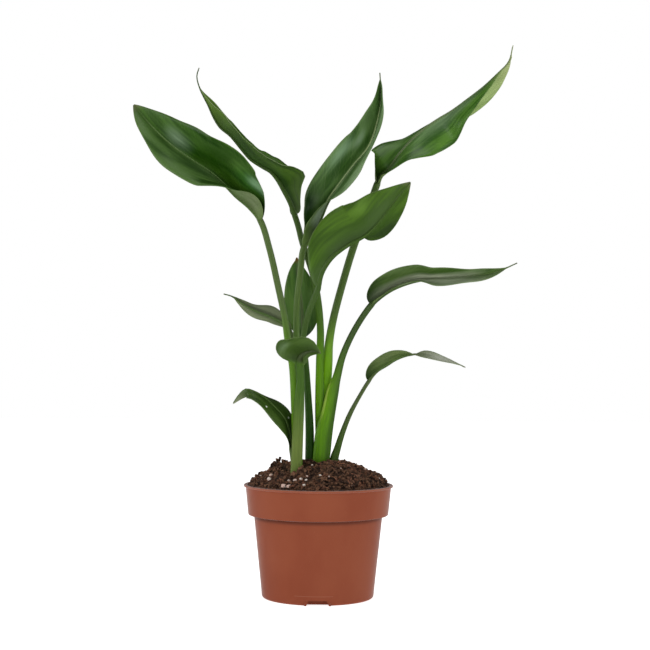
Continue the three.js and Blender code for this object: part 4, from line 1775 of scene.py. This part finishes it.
FINISH_CENTRE_FRONT = replace(
    GLOSSY, name="centre_front_leaf", under_deep=Tone(50, 82, 4), under_light=Tone(74, 112, 10),
    under_rib_shade=Tone(58, 90, 14), keel=Tone(62, 90, 24), stalk_top=Tone(68, 96, 36), under_roughness=0.45,
    patches=(
        Patch(0.4, 0.42, -5.0, 22.0, 0.8, Tone(42, 62, 26)),
        Patch(0.66, 0.22, 19.0, 9.0, 0.45, Tone(104, 142, 52)),
        Patch(0.62, 0.28, -20.0, 17.0, 1.2, Tone(42, 66, 20)),
    ),
)
FINISH_FRONT_NODDING = replace(
    GLOSSY, name="front_nodding_leaf", under_deep=Tone(52, 80, 20), under_light=Tone(72, 100, 36),
    under_rib_shade=Tone(50, 74, 20), keel=Tone(68, 80, 48), stalk_foot=Tone(112, 132, 56),
    stalk_top=Tone(68, 104, 28), under_roughness=0.5,
    patches=(Patch(0.3, 0.25, 16.0, 6.0, 0.2),),
)
FINISH_LEFT_BACK = replace(
    GLOSSY, name="left_back_leaf", under_deep=Tone(80, 94, 59), under_light=Tone(118, 129, 94),
    under_rib_shade=Tone(77, 88, 56),
)
FINISH_LOWER_LEFT = replace(
    GLOSSY, name="lower_left_leaf", under_deep=Tone(94, 103, 61), under_light=Tone(123, 132, 89),
    under_rib_shade=Tone(81, 92, 48), specks=0.3,
    tip=Tone(128, 136, 104), tip_from=0.78, upper_light=Tone(66, 92, 34), upper_deep=Tone(40, 66, 16),
)

LEAVES = (
    Leaf(
        name="leaf_upper_right",
        stem=(
            (4.5, 7, 84, 3), (5.2, 7, 108, 3.4), (4.8, 7, 152, 4.4), (6.5, 7.5, 187, 4.2),
            (7.8, 8, 204, 3.4), (10.8, 9, 222, 3.1), (17, 10, 247, 3), (27.8, 11, 284, 3),
            (37, 12, 308, 2.8),
        ),
        rib=(
            (46, 13, 333.5, 80, 90), (49, 14, 341, 62, 82), (56, 14, 347, 4, 78),
            (64.5, 15, 358.5, -38, 60), (75, 16, 370.5, -72, 31), (83.5, 17, 378.5, -82, 24),
            (95, 18, 387, -88, 22), (107.5, 19, 395, -102, 52), (120.5, 20, 405, -122, 62),
            (133, 20, 415, -130, 75), (144.5, 20, 426, -128, 84), (154, 20, 436.5, -110, 80),
            (157.5, 20, 450.5, -60, 60),
        ),
        width=26.0, peak=0.38, rise=0.42, whip=0.05, waves=3, facing=Facing.VIEWER,
        finish=FINISH_UPPER_RIGHT,
    ),
    Leaf(
        name="leaf_top_left",
        stem=(
            (0.5, 3, 81.6, 3), (1, 3, 108, 3.4), (0.4, 3, 152, 3.6), (0.4, 3.5, 187, 3.2),
            (0.7, 4, 214, 2.9), (-1.5, 4, 238, 2.8), (-5.7, 5, 259, 2.7), (-14.8, 7, 286, 2.5),
            (-17.9, 8, 298, 2.4),
        ),
        rib=(
            (-21.1, 9, 307.9, 60, 75), (-24.3, 10, 316.5, 64, 85), (-26.9, 10.5, 321.8, 58, 95),
            (-30.4, 11, 328, 40, 115), (-33.1, 11.5, 332.9, -24, 128), (-36, 12, 337.4, -50, 128),
            (-40.6, 12, 342.7, -65, 120), (-47.3, 12.5, 346.6, -66, 119), (-57.4, 13, 353.1, -64, 123),
            (-65.9, 14, 362.7, -64, 121), (-74, 15, 372.3, -59, 117), (-82.7, 16, 379.4, -42, 137),
            (-88.1, 17, 387.7, -37, 154), (-92.8, 17, 397.9, -56, 168), (-99.5, 18, 411.2, -50, 150),
            (-102.2, 18, 421.9, -50, 130), (-100.1, 18, 429.3, -50, 130),
        ),
        width=23.0, peak=0.3, rise=0.45, whip=0.11, waves=3, facing=Facing.AWAY,
        finish=FINISH_TOP_LEFT,
    ),
    Leaf(
        name="leaf_mid_right",
        stem=(
            (2.2, -2, 79, 6.6), (2, -2, 109, 6.9), (2.8, -2, 118, 7), (4.2, -2, 132, 6.9),
            (7.6, -1, 148, 5.6), (11, 0, 165, 4.9), (14.1, 1, 176, 3.4), (19, 2, 194, 2.7),
            (28.2, 3, 214.3, 2.5),
        ),
        rib=(
            (41.5, 4, 234.5, 26, 95), (48.5, 3, 241, 22, 92), (57.5, 2, 247, 34, 90),
            (68, 1, 251.5, 38, 88), (79, 0, 254.5, 40, 85), (90.5, 0, 256, 58, 70),
            (105, 0, 257, 60, 60), (119.5, 0, 258.5, 56, 54), (133, 0, 260, 42, 48),
            (145, 0, 263, 40, 40), (159.5, 0, 269.5, 40, 40),
        ),
        width=17.2, peak=0.29, rise=0.42, whip=0.07, waves=3, facing=Facing.VIEWER,
        finish=FINISH_MID_RIGHT,
    ),
    Leaf(
        name="leaf_centre_back",
        stem=(
            (-7.3, 1, 82.8, 3.4), (-7.3, 1, 108.6, 3.6), (-7.4, 2.5, 133, 3.4), (-8.7, 4, 157, 2.9),
            (-10.8, 6.5, 185, 2.5),
        ),
        rib=(
            (-13.5, 9, 207.5, 10, 10), (-14, 11, 222, 5, 5), (-15, 12, 235.5, 5, 5),
            (-17, 13, 251, 8, 8), (-18.5, 13, 263, 12, 12), (-19, 12, 273.5, 20, 20),
        ),
        width=14.0, peak=0.42, rise=0.6, whip=0.02, waves=2, facing=Facing.VIEWER,
        finish=FINISH_CENTRE_BACK,
    ),
    Leaf(
        name="leaf_lower_right",
        stem=(
            (12.4, 2, 80.3, 3.3), (12.4, 2, 109.5, 3.5), (14.7, 2, 117.6, 2.9), (18.7, 2, 130.5, 2.3),
            (25, 2.5, 146.6, 1.9), (31.4, 3, 158.7, 1.6),
        ),
        rib=(
            (40, 4, 173, 30, -70), (46.5, 3, 181, 14, -92), (54.5, 2, 186, 17, -100),
            (61.5, 1, 190.5, 38, -98), (69, 0, 193.5, 60, -92), (76, 0, 195, 88, -88),
            (85, 0, 194.5, 104, -114), (94.5, 0, 192, 113, -126), (105, 0, 190, 130, -116),
            (113, 0, 187, 130, -112), (118, 0, 184.5, 130, -110),
        ),
        width=10.0, peak=0.3, rise=0.4, whip=0.03, waves=2, facing=Facing.VIEWER,
        finish=FINISH_LOWER_RIGHT,
    ),
    Leaf(
        name="leaf_top_centre",
        stem=(
            (-16.3, -19.5, 83.3, 2.6), (-16.3, -19.5, 104, 2.8), (-16.4, -18, 133, 2.8),
            (-17, -16, 157, 2.8), (-17.7, -13, 186, 2.7), (-18.6, -10, 214, 2.6),
            (-18.1, -7, 237.5, 2.6), (-16, -4.5, 257.5, 2.6),
        ),
        rib=(
            (-13, -2, 280.5, 34, 145), (-7.5, -2, 288, 38, 140), (-3.5, -1, 295.5, 38, 128),
            (1, -1, 306.5, 30, 106), (6, 0, 318, 16, 80), (14, 0, 330, 20, 68), (26, 1, 346.5, 27, 70),
            (39.5, 0, 363.5, 16, 79), (46.5, -1, 387, 36, 79), (48, -2, 404, 58, 82),
            (47, -3, 422.5, 40, 60),
        ),
        width=22.0, peak=0.45, rise=0.65, whip=0.04, waves=3, facing=Facing.VIEWER,
        finish=FINISH_TOP_CENTRE,
    ),
    Leaf(
        name="leaf_upper_left",
        stem=(
            (-18.3, -22.5, 80.9, 2.8), (-18.3, -22.5, 103, 2.9), (-18.4, -22, 133, 3.1),
            (-19.3, -21.5, 157, 3), (-21.5, -21, 186, 2.7), (-25.2, -20, 205.6, 2.6),
            (-27.6, -20, 223, 2.6), (-33, -20, 247.5, 2.6), (-40, -20, 277, 2.5),
        ),
        rib=(
            (-47.5, -20, 300, 118, 60), (-56, -21, 310.5, 116, 42), (-67, -22, 319.5, 98, 32),
            (-73.5, -23, 326, 84, 32), (-86.5, -24, 337.5, 60, 36), (-102.5, -25, 348, 48, 40),
            (-120, -25, 360.5, 46, 30), (-135.5, -24, 375.5, 46, 24), (-149, -22, 391.5, 30, 20),
        ),
        width=30.2, peak=0.38, rise=0.55, whip=0, waves=4, facing=Facing.VIEWER,
        finish=FINISH_UPPER_LEFT,
    ),
    Leaf(
        name="leaf_centre_front",
        stem=(
            (-15.2, -23.5, 78.4, 2.3), (-15.2, -23.5, 104, 2.4), (-14.6, -24, 133, 2.4),
            (-14, -25, 157.5, 2.4), (-14.4, -26, 186, 2.4), (-12.8, -27, 208.5, 2.4),
            (-8.5, -28, 228, 2.4),
        ),
        rib=(
            (-1.5, -28, 246, 95, 45), (1, -29, 257, 104, 48), (5.5, -30, 265.5, 110, 33),
            (11, -31, 272, 112, 20), (23.5, -33, 281, 104, 5), (34, -35, 286.5, 76, 5),
            (43.5, -36, 295, 61, 12), (53.5, -37, 308.5, 54, 16), (62, -37, 319.5, 45, 28),
            (70.5, -37, 330, 40, 30),
        ),
        width=30.0, peak=0.45, rise=0.8, whip=0, waves=2, facing=Facing.AWAY,
        finish=FINISH_CENTRE_FRONT,
    ),
    Leaf(
        name="leaf_front_nodding",
        stem=(
            (-18.6, -28, 82.1, 3.5), (-17.9, -28, 103, 4.1), (-17, -28, 118, 4.3),
            (-16.5, -29, 133, 4.3), (-15.6, -32, 157, 3.8), (-14.6, -36, 174, 3.1),
        ),
        rib=(
            (-15.2, -40, 187.5, -60, 5), (-14.6, -44, 193, -66, 10), (-12.6, -50, 195.5, -78, 13),
            (-9, -57, 197, -92, 16), (-4.4, -64, 197.2, -106, 40), (1.2, -70, 195.5, -110, 50),
        ),
        width=22.0, left_share=0.42, peak=0.38, rise=0.5, whip=0.02, waves=2, facing=Facing.UP,
        finish=FINISH_FRONT_NODDING,
    ),
    Leaf(
        name="leaf_left_back",
        stem=(
            (-15.6, -15, 79.6, 2.4), (-15.6, -15, 103, 2.4), (-16, -13.5, 133, 2.4),
            (-17.4, -11, 157, 2.3), (-18.8, -8, 178, 2.1), (-20.4, -4, 198, 2),
        ),
        rib=(
            (-24.5, 0, 214, 45, 54), (-28.5, 1, 218.5, 70, 70), (-39.5, 3, 224.5, 63, 62),
            (-50, 5, 228.5, 62, 54), (-59, 7, 233, 74, 56), (-66.5, 9, 237.5, 76, 60),
            (-71.5, 10, 241, 60, 60), (-78.5, 11, 243, 40, 40),
        ),
        width=13.5, peak=0.42, rise=0.6, whip=0.14, waves=2, facing=Facing.AWAY,
        finish=FINISH_LEFT_BACK,
    ),
    Leaf(
        name="leaf_lower_left",
        stem=(
            (-20, -17, 84.6, 1.7), (-20, -17, 103, 1.7), (-20.8, -17.4, 112, 1.7),
        ),
        rib=(
            (-21.8, -18, 119, 80, -70), (-22.8, -18.5, 126.5, 80, -76), (-24, -18.5, 134.5, 65, -74),
            (-27, -18.5, 143, 54, -61), (-35, -18, 152.5, 51, -69), (-44.5, -18, 161, 50, -86),
            (-52, -18, 165, 48, -95), (-58, -18, 166.5, 12, -90), (-63, -18, 162.5, 0, -86),
            (-68.5, -18, 154.5, -6, -100),
        ),
        width=12.5, peak=0.4, rise=0.6, whip=0, waves=2, facing=Facing.VIEWER,
        finish=FINISH_LOWER_LEFT,
    ),
)


def main() -> None:
    """Builds the plant, its soil and pot, and the studio, in order."""
    logging.basicConfig(level=logging.INFO, format="%(message)s")
    groups = EffectGroups()
    Studio().build()
    NurseryPot().build()
    mound = SoilMound()
    mound.build()
    stalks = [(leaf.stem[1][0], leaf.stem[1][1], leaf.stem[1][3]) for leaf in LEAVES]
    LooseBits(mound, stalks).build()
    for leaf in LEAVES:
        leaf.build(groups)
    bpy.context.view_layer.update()


if __name__ == "__main__":
    main()
